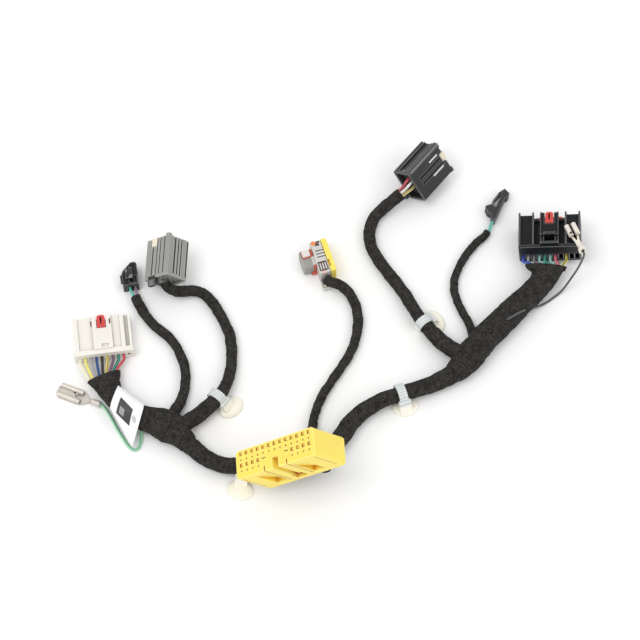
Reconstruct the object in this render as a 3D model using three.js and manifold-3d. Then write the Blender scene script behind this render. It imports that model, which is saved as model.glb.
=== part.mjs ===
// Wiring harness of a car's steering wheel: a cloth-taped trunk with five branches, eight plastic
// connectors, two loose terminals, four tie clips and a flag label, lying as it comes to rest.
// Millimetres, +Z up. X runs along the trunk, -Y points at the viewer.

import * as THREE from 'three';
import { mergeVertices } from 'three/addons/utils/BufferGeometryUtils.js';
import Module from 'manifold-3d';

const wasm = await Module();
wasm.setup();

// Clearances and shared sizes
const GAP = 0.3; // between two pieces that seat on each other
const PAST = 1; // how far a cut runs past the face that it opens
const OVERLAP = 0.05; // how far two solids that become one run into each other
const WIRE_RADIUS = 0.65;
const THIN_WIRE_RADIUS = 0.5;
const CAVITY_RADIUS = WIRE_RADIUS + 0.35;
const CAVITY_DEPTH = 3;
const WIRE_IN_CAVITY = 2.4; // how far a wire reaches into its cavity
const WIRE_SIDES = 8;
const TAPE_SIDES = 12;
const STEPS_PER_SPAN = 2;
const TAPE_OVERLAP = 1.2; // how far a wire or branch runs under the tape before it is trimmed
const LOCK_TRAVEL = 3;

// The layout's middle, which becomes the origin
const LAYOUT_MIDDLE = [1.77, -1.915, 0.06];

// Where each connector lies: the foot of its wire end, the way its mating end points, and its top
const WHITE_AT = { at: [-99.6, -21.3, 0.55], mating: [-0.134, 0.991, 0], top: [0, 0, 1] };
const BLACK_AT = { at: [109.3, 29.9, 3.5], mating: [0.059, 0.996, -0.068], top: [-0.144, 0.076, 0.987] };
const YELLOW_AT = { at: [-6.7, -77.5, 24.1], mating: [-0.628, -0.131, 0.767], top: [0.074, -0.991, -0.109] };
const GREY_AT = { at: [-67.9, 15.8, 5.6], mating: [0.052, 0.987, 0.153], top: [-0.708, -0.072, 0.702] };
const DARK_AT = { at: [39.2, 70.0, 7.1], mating: [0.635, 0.771, 0.045], top: [0.598, -0.527, 0.605] };
const SMALL_AT = { at: [-88.7, 15.4, 0.1], mating: [-0.16, 0.987, 0], top: [0, 0, 1] };
const ONEWAY_AT = { at: [82.6, 51.9, 2.7], mating: [0.393, 0.919, 0], top: [-0.919, 0.393, 0] };
const SQUIB_AT = { at: [6.3, 26.5, 0.1], mating: [-0.957, -0.29, 0], top: [0, 0, 1] };
const BLADE_AT = { at: [-100.8, -44.7, 0.15], mating: [-0.925, 0.381, 0], top: [0, 0, 1] };

// White housing: one row of cavities, ribs along the top and a flange at the wire end
const WHITE = {
  width: 26.8, length: 19.7, ways: 10, wired: 9, pitch: 2.54,
  leftRail: 2.3, leftPanel: 6.9, rightRail: 1.0, rightGroove: 2.0, rightLedge: 1.8, rightPanel: 4.0,
  railHeight: 7.0, panelHeight: 6.3, panelTop: 7.5, grooveHeight: 5.2,
  flangeLength: 2.4, flangeReach: 0.5, flangeHeight: 7.1,
  wireHeight: 3.2, cavity: 1.5, cavityHeight: 1.6, cavityDepth: 8,
  lockWidth: 3.9, lockLength: 6.3, lockFoot: 4.2, lockTop: 7.9,
  armSpan: 8.8, armShift: -0.35, armWidth: 0.8, armLength: 4.6, armRoof: 0.8, slitWidth: 0.7, slitEnd: 2,
};

// Black housing: five rim posts, a centre latch between two deep channels, and a comb of cavities
const BLACK = {
  width: 29.1, length: 18.9, ways: 11, pitch: 2.54,
  wall: 0.9, panel: 5.5, rib: 0.9, channel: 2.9,
  rimHeight: 12, panelHeight: 10.9, channelHeight: 7.2, latchHeight: 13,
  capLength: 1.5, capHeight: 11.8, postReach: 0.9, postHeight: 1.6,
  windowNear: 2.6, windowFar: 6.4, windowWidth: 5.0, windowDepth: 4.5, crossbar: 1.1, crossbarRise: 0.5,
  wireHeight: 3.2, combFoot: 1.2, combHeight: 4.6, combDepth: 2.6, combFin: 0.6,
  cavity: 1.5, cavityHeight: 2.6, cavityDepth: 8,
  lockWidth: 3.8, lockLength: 6.0, lockFoot: 9.4, lockTop: 13.6,
};
const BLACK_WIRED = [0, 1, 2, 3, 4, 5, 6, 8]; // the ways that hold a wire, from the left

// Yellow main housing: a row of thirteen ways over two groups of four, and a latch bridge
const YELLOW = {
  width: 44.0, length: 21.4, height: 12.8, ways: 13, grouped: 4, pitch: 3.2,
  firstRow: 1.7, secondRow: 6.9, probeDrop: 2.7, cavity: 1.7, cavityDepth: 6, probeRadius: 0.45, probeDepth: 3,
  keySlot: 2.0, keySlotHeight: 0.5, keySlotAt: 6.4,
  bridge: 12.6, grooveWidth: 0.7, grooveDepth: 2.4, grooveEnd: 3.0,
  channelWidth: 3.4, channelDepth: 5.0, channelEnd: 2.4, windowWidth: 6.4,
  pocketNear: 7.4, pocketFar: 13.6, pocketStart: 4.0, pocketLength: 14.5, pocketDepth: 2.4,
  outerGroove: 1.9, outerGrooveDepth: 0.6, corner: 1.0,
  lockWidth: 2.8, lockLength: 5.4, lockHeight: 2.6, lockHeadWidth: 5.6, lockHeadLength: 1.6,
};

// Grey and dark housings: lengthwise grooves, listed as [distance from the ridge, width, depth]
const GREY = {
  width: 16.3, length: 19.6, height: 12.9, wall: 1.1, recess: 0.9, cellDepth: 3, corner: 0.9,
  topGrooves: [[2.9, 0.8, 0.9], [5.7, 0.7, 0.9], [7.9, 0.7, 0.9], [10.9, 1.0, 1.2]],
  sideGrooves: [[4.2, 1.0, 1.2], [6.2, 0.7, 0.9], [8.0, 0.7, 0.9], [11.6, 0.9, 0.8]],
  grooveEnd: 1.3, bumpWidth: 2.2, bumpReach: 1.1,
  retainerNear: 8.6, retainerFar: 12.4, retainerDepth: 4, retainerHeight: 1.5, retainerReach: 0.5,
  tabFrom: 3.2, tabWidth: 5.0, tabReach: 3.6, tabFoot: 10.8, tabHeight: 2.0, tabSeat: 0.9,
  cavity: 1.6, cavityDepth: 6, columns: 4, rows: 3, pitch: 3.2,
};
const DARK = {
  width: 17.7, length: 21.4, height: 12.0, wall: 1.1, recess: 2.6, corner: 0.7,
  sideGrooves: [[0.9, 0.7, 1.3], [2.1, 0.5, 0.7], [3.2, 0.5, 0.7], [9.9, 0.9, 1.4]],
  sidePanelNear: 4.2, sidePanelFar: 8.6, sidePanelDepth: 0.8,
  latchNear: 4.3, latchFar: 11.4, slotWidth: 0.9, slotDepth: 2.2, slotNear: 11.0, slotLength: 8.0,
  bandNear: [6.1, 9.2], bandWidth: 1.4, bandDepth: 0.6, grooveEnd: 1.2,
  latchNotch: 1.8, latchNotchDepth: 3.2, rimReach: 0.8, rimWidth: 2.4,
  retainerHeight: 2.2, retainerReach: 1.3,
  tabWidth: 5.0, tabReach: 3.0, tabHeight: 2.6,
  cavity: 1.6, cavityDepth: 6, columns: 4, rows: 2, pitch: 3.2,
};
const DARK_WIRES = [[-4.4, 9.0], [-1.9, 9.0], [0.7, 9.0]]; // [across, up] on the wire end

// Small two-way housing
const SMALL = {
  width: 7.6, length: 12.0, height: 6.4, frontCorner: 4.2, corner: 0.8,
  latchWidth: 3.2, latchHeight: 1.1, latchGap: 0.6, mouthWidth: 4.8, mouthHeight: 3.8, mouthDepth: 4.5,
  windowDepth: 0.8, windowStart: 1.0, windowEnd: 4.6,
  wingReach: 0.9, wingLength: 3.0, wireSpread: 1.3, wireHeight: 2.6,
};

// One-way housing, seen in profile: a slim bar with a head, a ramp and an open latch arm
const ONEWAY = {
  width: 4.6, barHalf: 1.15, length: 18.4, headStart: 13.8, headHalf: 2.0,
  rampStart: 2.4, rampEnd: 7.2, rampHeight: 5.6, armHeight: 3.0, armThickness: 0.7, armEnd: 16.0,
};

// Airbag igniter plug: ribbed body, side block, seal rim and back cover
const SQUIB = {
  back: 2.9, front: 7.8, low: -5.0, high: 13.2, height: 9.8, tongueEnd: -9.8, tongueHeight: 3.4, tongueFoot: 0.6,
  ridges: 3, ridgePitch: 1.7, ridgeStart: 3.4, ridgeWidth: 0.7, ridgeDepth: 0.7,
  windowStart: -3.6, windowLength: 4.4, windowDepth: 1.8, bars: 3, barWidth: 0.6,
  blockLow: 1.0, blockHigh: 10.4, blockReach: 6.2, blockFoot: 0.8, blockHeight: 7.4,
  tabLength: 3.8, tabWidth: 4.4, tabRise: 0.9,
  coverThickness: 2.6, coverHigh: 14.0, coverLow: -5.2, coverHeight: 10.4, sealReach: 0.9, sealWidth: 0.9,
};

// Loose terminals
const BLADE = {
  bodyStart: 8.4, bodyLength: 13.0, width: 7.3, plate: 0.8, curlRadius: 1.25, neckWidth: 2.2,
  crimpLength: 4.2, crimpRadius: 1.45, crimpBore: 0.98, noseChamfer: 1.9,
};
const BARREL = {
  outer: 1.25, inner: 0.7, length: 6.2, spread: 3.2, armWidth: 0.9, neckWidth: 2.4, neckLength: 4.0,
  plate: 0.8, crimpLength: 3.4, crimpRadius: 1.4, crimpBore: 0.86, bellRadius: 1.9, bellLength: 1.5,
  tip: [-4.95, 10.6], crimp: [1.15, -4.6], // [across from the black housing's right side, along it]
  lift: 0.5, // above the housing's rim
};

// Tie clips: a band round the tape and an oval foot on the surface below
const CLIP = {
  bandWidth: 4.0, bandThickness: 0.9, footLength: 12.6, footWidth: 9.8, footThickness: 2.2,
  neckWidth: 5.6, neckReach: 3.4, neckTop: 1.6,
};

// Each clip: the tape's middle and direction there, the tape's size, and the foot beside it
const CLIPS = {
  clip_left: { at: [-47.0, -42.9, 4.95], along: [-0.58, -0.81, 0], tapeWidth: 6.6, tapeHeight: 6.3,
    foot: [-6.5, -1.4], footTurn: 80 },
  clip_main: { at: [-34.6, -77.5, 5.15], along: [1, -0.11, 0], tapeWidth: 7.8, tapeHeight: 7.6,
    foot: [9.6, -0.4], footTurn: 84 },
  clip_centre: { at: [37.0, -41.35, 5.8], along: [0.94, 0.34, 0], tapeWidth: 7.4, tapeHeight: 7.4,
    foot: [4.6, 0.7], footTurn: 90 },
  clip_right: { at: [48.4, -4.6, 5.2], along: [0.6, -0.8, 0], tapeWidth: 6.4, tapeHeight: 6.2,
    foot: [-6.0, 0.3], footTurn: 84 },
};

const LABEL = { thickness: 0.3, across: 6, along: 10 };

// Taped stretches: [x, y, z, width, height] of the section at each point of the centreline
const LEFT_JOINT = [
  [-99.3, -31.9, 4.2, 16.2, 6.0], [-97.6, -36.0, 4.5, 12.2, 7.4], [-94.6, -41.6, 5.0, 10.0, 9.0],
  [-90.0, -47.2, 5.1, 9.8, 9.6], [-84.8, -51.2, 5.1, 10.4, 9.6], [-79.0, -53.6, 5.1, 11.6, 9.6],
  [-72.6, -55.6, 5.1, 14.6, 9.8], [-67.2, -58.6, 5.1, 15.2, 9.8], [-62.6, -62.8, 5.0, 10.6, 9.4],
  [-59.6, -65.8, 4.8, 9.0, 9.0],
];
const LEFT_TRUNK = [
  [-59.35, -66.05, 4.4, 8.2, 8.2], [-55.6, -69.4, 4.3, 8.1, 8.0], [-51.4, -72.8, 4.2, 7.6, 7.6],
  [-45.8, -75.6, 4.5, 7.4, 7.4], [-38.7, -77.0, 5.0, 7.6, 7.4], [-31.0, -77.8, 5.2, 7.6, 7.4],
  [-22.0, -77.6, 4.8, 7.6, 7.4], [-12.0, -75.4, 4.6, 7.6, 7.6],
];
const MAIN_JOINT = [
  [-11.7, -75.3, 4.8, 8.8, 8.6], [-6.6, -73.7, 5.0, 10.2, 9.2], [-1.4, -71.9, 5.0, 10.8, 9.4],
  [3.2, -69.2, 5.0, 9.8, 9.2], [6.9, -66.2, 4.7, 8.8, 8.8],
];
const RIGHT_TRUNK = [
  [7.1, -66.0, 4.4, 8.2, 8.0], [10.2, -61.4, 4.4, 8.3, 8.0], [13.9, -55.4, 4.3, 8.1, 7.8],
  [19.5, -49.6, 4.3, 7.8, 7.6], [26.9, -45.0, 5.0, 7.2, 7.2], [34.3, -42.3, 5.9, 7.1, 7.1],
  [41.8, -39.6, 5.6, 7.3, 7.2], [50.4, -36.2, 4.5, 7.8, 7.6], [57.0, -32.9, 4.5, 8.5, 8.2],
  [61.2, -30.3, 4.7, 9.1, 8.6],
];
const RIGHT_JOINT = [
  [61.5, -30.1, 5.0, 10.0, 9.2], [65.6, -26.4, 5.3, 12.2, 10.0], [70.2, -20.8, 5.8, 13.6, 11.0],
  [76.4, -12.8, 6.1, 13.0, 11.4], [84.8, -4.0, 6.1, 12.8, 11.4], [92.4, 4.4, 6.0, 12.0, 11.2],
  [98.9, 10.8, 6.0, 11.4, 11.0], [103.8, 16.4, 6.1, 11.3, 10.0], [106.3, 21.4, 6.6, 13.4, 8.4],
  [106.6, 25.0, 6.9, 19.8, 6.8],
];
const MAIN_LEG = [
  [-1.8, -80.2, 16.4, 15.4, 7.2], [-1.2, -79.2, 14.0, 12.4, 7.2], [-0.8, -77.6, 11.6, 9.6, 7.0],
  [-0.9, -75.4, 9.2, 8.4, 6.8], [-1.2, -73.2, 6.8, 7.6, 6.2],
];
const SMALL_BRANCH = [
  [-86.6, 11.0, 2.8, 4.6, 4.4], [-85.2, 7.6, 2.5, 4.7, 4.6], [-82.8, 3.2, 2.5, 4.7, 4.6],
  [-79.8, -1.4, 2.5, 4.7, 4.6], [-76.0, -5.5, 2.5, 4.7, 4.6], [-71.6, -9.2, 2.5, 4.7, 4.6],
  [-68.1, -13.2, 2.5, 4.6, 4.6], [-65.6, -17.6, 2.5, 4.6, 4.6], [-63.7, -22.2, 2.5, 4.6, 4.6],
  [-62.3, -27.2, 2.5, 4.6, 4.6], [-61.9, -32.6, 2.5, 4.6, 4.6], [-62.3, -38.0, 2.6, 4.6, 4.6],
  [-63.6, -43.2, 3.0, 4.7, 4.7], [-65.8, -48.2, 3.8, 5.2, 5.2], [-68.4, -53.4, 4.8, 5.6, 5.6],
];
const GREY_BRANCH = [
  [-72.4, 15.1, 9.5, 4.6, 4.6], [-72.0, 13.8, 8.7, 4.8, 4.7], [-70.2, 12.4, 7.3, 5.0, 4.9],
  [-67.0, 12.2, 5.7, 5.2, 5.0], [-62.8, 13.2, 4.0, 5.2, 5.1], [-58.4, 13.9, 3.0, 5.2, 5.1],
  [-54.4, 12.2, 2.8, 5.2, 5.1], [-51.4, 9.2, 2.7, 5.2, 5.1], [-48.8, 5.2, 2.7, 5.2, 5.1],
  [-46.4, 0.7, 2.7, 5.1, 5.1], [-44.0, -4.2, 2.7, 5.1, 5.1], [-42.1, -9.0, 2.7, 5.1, 5.1],
  [-41.2, -14.2, 2.7, 5.1, 5.1], [-40.9, -19.6, 2.7, 5.1, 5.1], [-41.0, -25.2, 3.0, 5.1, 5.1],
  [-41.7, -30.6, 3.7, 5.1, 5.1], [-43.0, -35.6, 4.4, 5.2, 5.2], [-45.0, -40.0, 4.8, 5.8, 5.6],
  [-48.2, -44.5, 5.0, 6.8, 6.4], [-52.4, -48.8, 4.9, 7.2, 6.8], [-57.2, -53.0, 4.8, 7.4, 7.0],
  [-62.4, -56.6, 4.9, 7.4, 7.0],
];
const SQUIB_BRANCH = [
  [2.7, 18.7, 6.5, 4.6, 4.4], [4.6, 17.1, 6.2, 4.9, 4.7], [8.2, 16.4, 5.2, 5.1, 4.9],
  [11.9, 14.8, 3.7, 5.0, 4.8], [14.6, 11.5, 2.7, 4.8, 4.6], [16.5, 7.4, 2.4, 4.7, 4.6],
  [17.5, 2.8, 2.4, 4.7, 4.6], [17.8, -2.2, 2.4, 4.7, 4.6], [17.3, -7.4, 2.4, 4.6, 4.5],
  [15.9, -13.6, 2.4, 4.4, 4.4], [13.9, -18.8, 2.4, 4.3, 4.3], [11.2, -23.7, 2.4, 4.2, 4.2],
  [8.3, -28.4, 2.4, 4.1, 4.1], [5.4, -33.1, 2.4, 4.1, 4.1], [2.5, -37.9, 2.4, 4.1, 4.1],
  [0.1, -42.7, 2.4, 4.1, 4.1], [-1.6, -47.4, 2.4, 4.1, 4.1], [-2.8, -52.2, 2.5, 4.1, 4.1],
  [-3.5, -57.2, 2.9, 4.3, 4.3], [-3.8, -62.4, 3.5, 5.4, 5.0], [-3.6, -67.4, 4.1, 6.2, 5.6],
  [-3.0, -72.4, 4.6, 6.4, 5.8],
];
const DARK_BRANCH = [
  [38.9, 64.2, 8.0, 6.0, 5.8], [36.4, 62.6, 7.0, 6.0, 5.8], [33.2, 60.4, 5.6, 5.9, 5.8],
  [29.4, 57.4, 4.2, 5.8, 5.7], [26.2, 54.0, 3.2, 5.7, 5.7], [24.2, 49.4, 3.0, 5.7, 5.7],
  [23.6, 44.2, 3.0, 5.7, 5.7], [24.1, 39.2, 3.0, 5.7, 5.7], [25.8, 34.4, 3.0, 5.7, 5.7],
  [28.3, 29.8, 3.0, 5.7, 5.7], [31.1, 25.3, 3.0, 5.8, 5.7], [34.1, 20.9, 3.0, 5.9, 5.8],
  [37.1, 16.3, 3.1, 5.9, 5.8], [39.7, 11.9, 3.5, 5.9, 5.8], [41.8, 7.6, 4.1, 5.9, 5.8],
  [43.9, 3.2, 4.8, 5.9, 5.8], [46.5, -1.6, 5.2, 6.0, 5.8], [49.4, -5.9, 5.2, 6.2, 6.0],
  [52.6, -9.9, 5.1, 7.2, 6.8], [56.4, -14.0, 5.0, 7.5, 7.2], [60.6, -17.6, 5.0, 7.6, 7.4],
  [65.4, -20.6, 5.2, 7.6, 7.4],
];
const ONEWAY_BRANCH = [
  [80.2, 46.4, 2.4, 3.4, 3.4], [78.4, 44.0, 2.2, 3.8, 3.7], [75.6, 41.6, 2.1, 3.8, 3.8],
  [72.1, 37.6, 2.1, 3.8, 3.8], [69.3, 33.6, 2.1, 3.8, 3.8], [66.8, 29.2, 2.1, 3.8, 3.8],
  [64.7, 24.4, 2.1, 3.8, 3.8], [63.4, 19.6, 2.1, 3.8, 3.8], [63.2, 14.6, 2.1, 3.8, 3.8],
  [64.2, 9.9, 2.1, 3.8, 3.8], [65.8, 5.4, 2.1, 3.8, 3.8], [67.6, 1.2, 2.2, 3.8, 3.8],
  [69.4, -3.0, 2.6, 4.0, 4.0], [70.8, -7.4, 3.4, 4.4, 4.4], [71.6, -12.6, 4.6, 4.6, 4.6],
  [72.0, -17.6, 5.6, 4.6, 4.6],
];

// Single wires that run free: [x, y, z] points
const GREEN_WIRE = [
  [-101.2, -44.5, 1.6], [-99.6, -45.2, 1.4], [-97.6, -47.6, 1.0], [-95.4, -51.2, 0.9], [-93.0, -55.6, 0.9],
  [-90.4, -60.0, 0.9], [-88.0, -63.8, 0.9], [-86.0, -66.3, 0.9], [-84.2, -67.3, 0.9], [-82.6, -66.6, 0.9],
  [-81.6, -64.4, 1.0], [-81.2, -61.6, 1.4], [-81.2, -58.8, 2.6], [-81.0, -56.2, 4.2],
];
const THIN_WIRE = [
  [122.0, 27.2, 19.95], [122.5, 25.65, 20.15], [123.0, 24.0, 20.1], [122.0, 21.6, 18.0], [120.4, 19.9, 13.4],
  [118.4, 18.6, 8.2], [115.6, 16.2, 3.4], [113.0, 13.9, 1.2], [110.2, 11.7, 0.7], [107.2, 9.3, 0.7],
  [104.6, 7.5, 1.1],
  [101.6, 5.6, 2.6], [97.8, 2.8, 6.0], [94.0, -0.6, 10.2], [90.4, -3.6, 12.0], [86.4, -6.2, 12.0],
];

// The flag label's two long edges, from behind the bundle over its top and down to the surface
const LABEL_LEFT = [[-92.3, -38.6, 8.6], [-92.4, -40.4, 10.5], [-93.6, -44.6, 11.2], [-94.8, -48.4, 10.4],
  [-95.2, -50.2, 9.2]];
const LABEL_RIGHT = [[-80.2, -48.4, 9.4], [-79.9, -50.6, 11.2], [-80.8, -55.2, 11.4], [-82.9, -61.4, 7.2],
  [-85.0, -66.2, 2.1]];

// Colours
const IVORY = 0xf2efe4;
const YELLOW_COLOUR = 0xfad85c;
const GREY_COLOUR = 0xb0b0aa;
const DARK_COLOUR = 0x4b4c4e;
const BLACK_COLOUR = 0x1f1f21;
const RED = 0xdd4c44;
const CREAM = 0xece2cc;
const ORANGE = 0xd9683f;
const LIGHT_GREY = 0xd2d0ca;
const TIN = 0xc9c3b8;
const NYLON = 0xebe7d8;
const PAPER = 0xf6f6f4;
const TAPE = 0x33302e;

const harness = new THREE.Group();
harness.position.set(-LAYOUT_MIDDLE[0], -LAYOUT_MIDDLE[1], -LAYOUT_MIDDLE[2]);

// Solids from geometries, and back
function toSolid(geometry) {
  const bare = geometry.clone();
  bare.deleteAttribute('normal');
  bare.deleteAttribute('uv');
  const merged = mergeVertices(bare, 1e-4);
  return new wasm.Manifold(new wasm.Mesh({
    numProp: 3,
    vertProperties: new Float32Array(merged.attributes.position.array),
    triVerts: new Uint32Array(merged.index.array),
  }));
}

function toGeometry(solid) {
  const { vertProperties, triVerts } = solid.getMesh();
  const geometry = new THREE.BufferGeometry();
  geometry.setAttribute('position', new THREE.BufferAttribute(new Float32Array(vertProperties), 3));
  geometry.setIndex(new THREE.BufferAttribute(new Uint32Array(triVerts), 1));
  geometry.computeVertexNormals();
  return geometry;
}

const joined = (...solids) => solids.flat().reduce((whole, next) => whole.add(next));
const cut = (solid, ...tools) => tools.flat().reduce((left, tool) => left.subtract(tool), solid);

// A wire or branch cut back to the tape that it enters: the length that stays outside
function trimmed(solid, ...tools) {
  const pieces = cut(solid, ...tools).decompose();
  return pieces.reduce((longest, piece) => (piece.volume() > longest.volume() ? piece : longest));
}

function block(x0, x1, y0, y1, z0, z1) {
  const box = new THREE.BoxGeometry(x1 - x0, y1 - y0, z1 - z0);
  return toSolid(box.translate((x0 + x1) / 2, (y0 + y1) / 2, (z0 + z1) / 2));
}

// A round rod along Y
function rod(x, z, radius, y0, y1, sides = 10) {
  const cylinder = new THREE.CylinderGeometry(radius, radius, y1 - y0, sides);
  return toSolid(cylinder.translate(x, (y0 + y1) / 2, z));
}

// A shape drawn as [across, up] and run along Y
function runAlongY(shape, y0, y1) {
  const geometry = new THREE.ExtrudeGeometry(shape, { depth: y1 - y0, bevelEnabled: false, curveSegments: 4 });
  return toSolid(geometry.rotateX(Math.PI / 2).translate(0, y1, 0));
}

// A shape drawn as [along, up] and run across X
function runAcrossX(shape, x0, x1) {
  const geometry = new THREE.ExtrudeGeometry(shape, { depth: x1 - x0, bevelEnabled: false, curveSegments: 4 });
  const turned = new THREE.Matrix4().makeBasis(
    new THREE.Vector3(0, 1, 0), new THREE.Vector3(0, 0, 1), new THREE.Vector3(1, 0, 0));
  return toSolid(geometry.applyMatrix4(turned).translate(x0, 0, 0));
}

function outline(points) {
  return new THREE.Shape(points.map(([across, up]) => new THREE.Vector2(across, up)));
}

// A section with cut corners
function chamfered(x0, x1, z0, z1, corner) {
  return outline([
    [x0 + corner, z0], [x1 - corner, z0], [x1, z0 + corner], [x1, z1 - corner],
    [x1 - corner, z1], [x0 + corner, z1], [x0, z1 - corner], [x0, z0 + corner],
  ]);
}

// A section whose top steps up and down in bands, measured [width, height] inwards from each side
function skyline(width, foot, leftBands, rightBands, middleHeight) {
  const points = [[-width / 2, foot], [width / 2, foot]];
  let edge = width / 2;
  for (const [band, height] of rightBands) {
    points.push([edge, height], [edge - band, height]);
    edge -= band;
  }
  const middleRight = edge;
  const left = [];
  edge = -width / 2;
  for (const [band, height] of leftBands) {
    left.unshift([edge + band, height], [edge, height]);
    edge += band;
  }
  points.push([middleRight, middleHeight], [edge, middleHeight], ...left);
  return outline(points);
}

// Placing
function frameOf({ at, mating, top }) {
  const y = new THREE.Vector3(...mating).normalize();
  const x = new THREE.Vector3().crossVectors(y, new THREE.Vector3(...top)).normalize();
  const z = new THREE.Vector3().crossVectors(x, y);
  return new THREE.Matrix4().makeBasis(x, y, z).setPosition(...at);
}

function groupAt(place) {
  const group = new THREE.Group();
  group.applyMatrix4(frameOf(place));
  harness.add(group);
  return group;
}

function addPiece(parent, name, solid, color, roughness = 0.5, metalness = 0) {
  const material = new THREE.MeshStandardMaterial({ color, roughness, metalness });
  const mesh = new THREE.Mesh(toGeometry(solid), material);
  mesh.name = name;
  parent.add(mesh);
}

const worldPoint = (place, x, y, z) => new THREE.Vector3(x, y, z).applyMatrix4(frameOf(place)).toArray();

// A closed loft along a smooth centreline, with an oval section of its own at each station
function loft(stations, sides = TAPE_SIDES, stepsPerSpan = STEPS_PER_SPAN, swell = 0) {
  const curve = new THREE.CatmullRomCurve3(stations.map(([x, y, z]) => new THREE.Vector3(x, y, z)));
  const spans = stations.length - 1;
  const rings = spans * stepsPerSpan;
  const up = new THREE.Vector3(0, 0, 1);
  const positions = [];
  const ends = [];
  for (let ring = 0; ring <= rings; ring += 1) {
    const t = ring / rings;
    const span = Math.min(Math.floor(t * spans), spans - 1);
    const local = t * spans - span;
    const centre = curve.getPoint(t);
    const along = curve.getTangent(t);
    if (ring === 0) centre.addScaledVector(along, -swell);
    if (ring === rings) centre.addScaledVector(along, swell);
    const side = new THREE.Vector3().crossVectors(along, up).normalize();
    const over = new THREE.Vector3().crossVectors(side, along);
    const mix = (index) => THREE.MathUtils.lerp(stations[span][index], stations[span + 1][index], local);
    for (let k = 0; k < sides; k += 1) {
      const angle = (2 * Math.PI * (k + 0.5)) / sides;
      const point = centre.clone()
        .addScaledVector(side, (mix(3) / 2 + swell) * Math.cos(angle))
        .addScaledVector(over, (mix(4) / 2 + swell) * Math.sin(angle));
      positions.push(...point.toArray());
    }
    if (ring === 0 || ring === rings) ends.push(centre);
  }
  const index = [];
  for (let ring = 0; ring < rings; ring += 1) {
    for (let k = 0; k < sides; k += 1) {
      const a = ring * sides + k;
      const b = ring * sides + ((k + 1) % sides);
      index.push(a, a + sides, b, b, a + sides, b + sides);
    }
  }
  const first = positions.length / 3;
  ends.forEach((centre) => positions.push(...centre.toArray()));
  for (let k = 0; k < sides; k += 1) {
    const next = (k + 1) % sides;
    index.push(first, k, next, first + 1, rings * sides + next, rings * sides + k);
  }
  const geometry = new THREE.BufferGeometry();
  geometry.setAttribute('position', new THREE.BufferAttribute(new Float32Array(positions), 3));
  geometry.setIndex(index);
  return toSolid(geometry);
}

const swollen = (stations) => loft(stations, TAPE_SIDES, STEPS_PER_SPAN, GAP);
const wireAlong = (points, radius = WIRE_RADIUS) =>
  loft(points.map((point) => [...point, 2 * radius, 2 * radius]), WIRE_SIDES, 1);

// Ends of a wire: in its cavity, straight out of it, and under the tape's mouth
function leadWire(place, x, z, mouth) {
  const leave = 2.2;
  const inside = worldPoint(place, x, WIRE_IN_CAVITY, z);
  const exit = worldPoint(place, x, 0, z);
  const out = worldPoint(place, x, -leave, z);
  const near = mouth.approach(leave * 0.6);
  return wireAlong([inside, exit, out, near, mouth.approach(-TAPE_OVERLAP)]);
}

// A point on a tape's mouth, across its width, with a way to step back along the wires
function mouthPoint(station, next, share, rise = 0) {
  const centre = new THREE.Vector3(...station.slice(0, 3));
  const along = new THREE.Vector3(...next.slice(0, 3)).sub(centre).normalize();
  const side = new THREE.Vector3().crossVectors(along, new THREE.Vector3(0, 0, 1)).normalize();
  const over = new THREE.Vector3().crossVectors(side, along);
  const point = centre.addScaledVector(side, share * station[3] / 2).addScaledVector(over, rise);
  return { approach: (back) => point.clone().addScaledVector(along, -back).toArray() };
}

// Cavities on the mating face and for the wires on the other
function cavityRow(count, pitch, z, size, y0, y1) {
  return Array.from({ length: count }, (_, way) => {
    const x = (way - (count - 1) / 2) * pitch;
    return block(x - size / 2, x + size / 2, y0, y1, z - size / 2, z + size / 2);
  });
}

const wayX = (way, count, pitch) => (way - (count - 1) / 2) * pitch;

// A position lock: a tongue with a round nose and a slot, and the pocket that it slides in
function lockTongue(size, length) {
  const { lockWidth: width, lockLength, lockFoot: foot, lockTop: top } = size;
  const start = length - lockLength;
  const bend = width * 0.36;
  const plan = new THREE.Shape();
  plan.moveTo(-width / 2, start);
  plan.lineTo(width / 2, start);
  plan.absarc(width / 2 - bend, length - bend, bend, 0, Math.PI / 2, false);
  plan.absarc(-width / 2 + bend, length - bend, bend, Math.PI / 2, Math.PI, false);
  const tongue = toSolid(new THREE.ExtrudeGeometry(plan,
    { depth: top - foot, bevelEnabled: false, curveSegments: 4 }).translate(0, 0, foot));
  const slot = block(-width * 0.11, width * 0.11, start + lockLength * 0.27, length - lockLength * 0.16,
    top - 1.8, top + PAST);
  return cut(tongue, slot);
}

function lockPocket(size, length) {
  const half = size.lockWidth / 2 + GAP;
  const start = length - size.lockLength - GAP;
  return block(-half, half, start, length + PAST, size.lockFoot - GAP, size.lockTop + 4);
}

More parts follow.
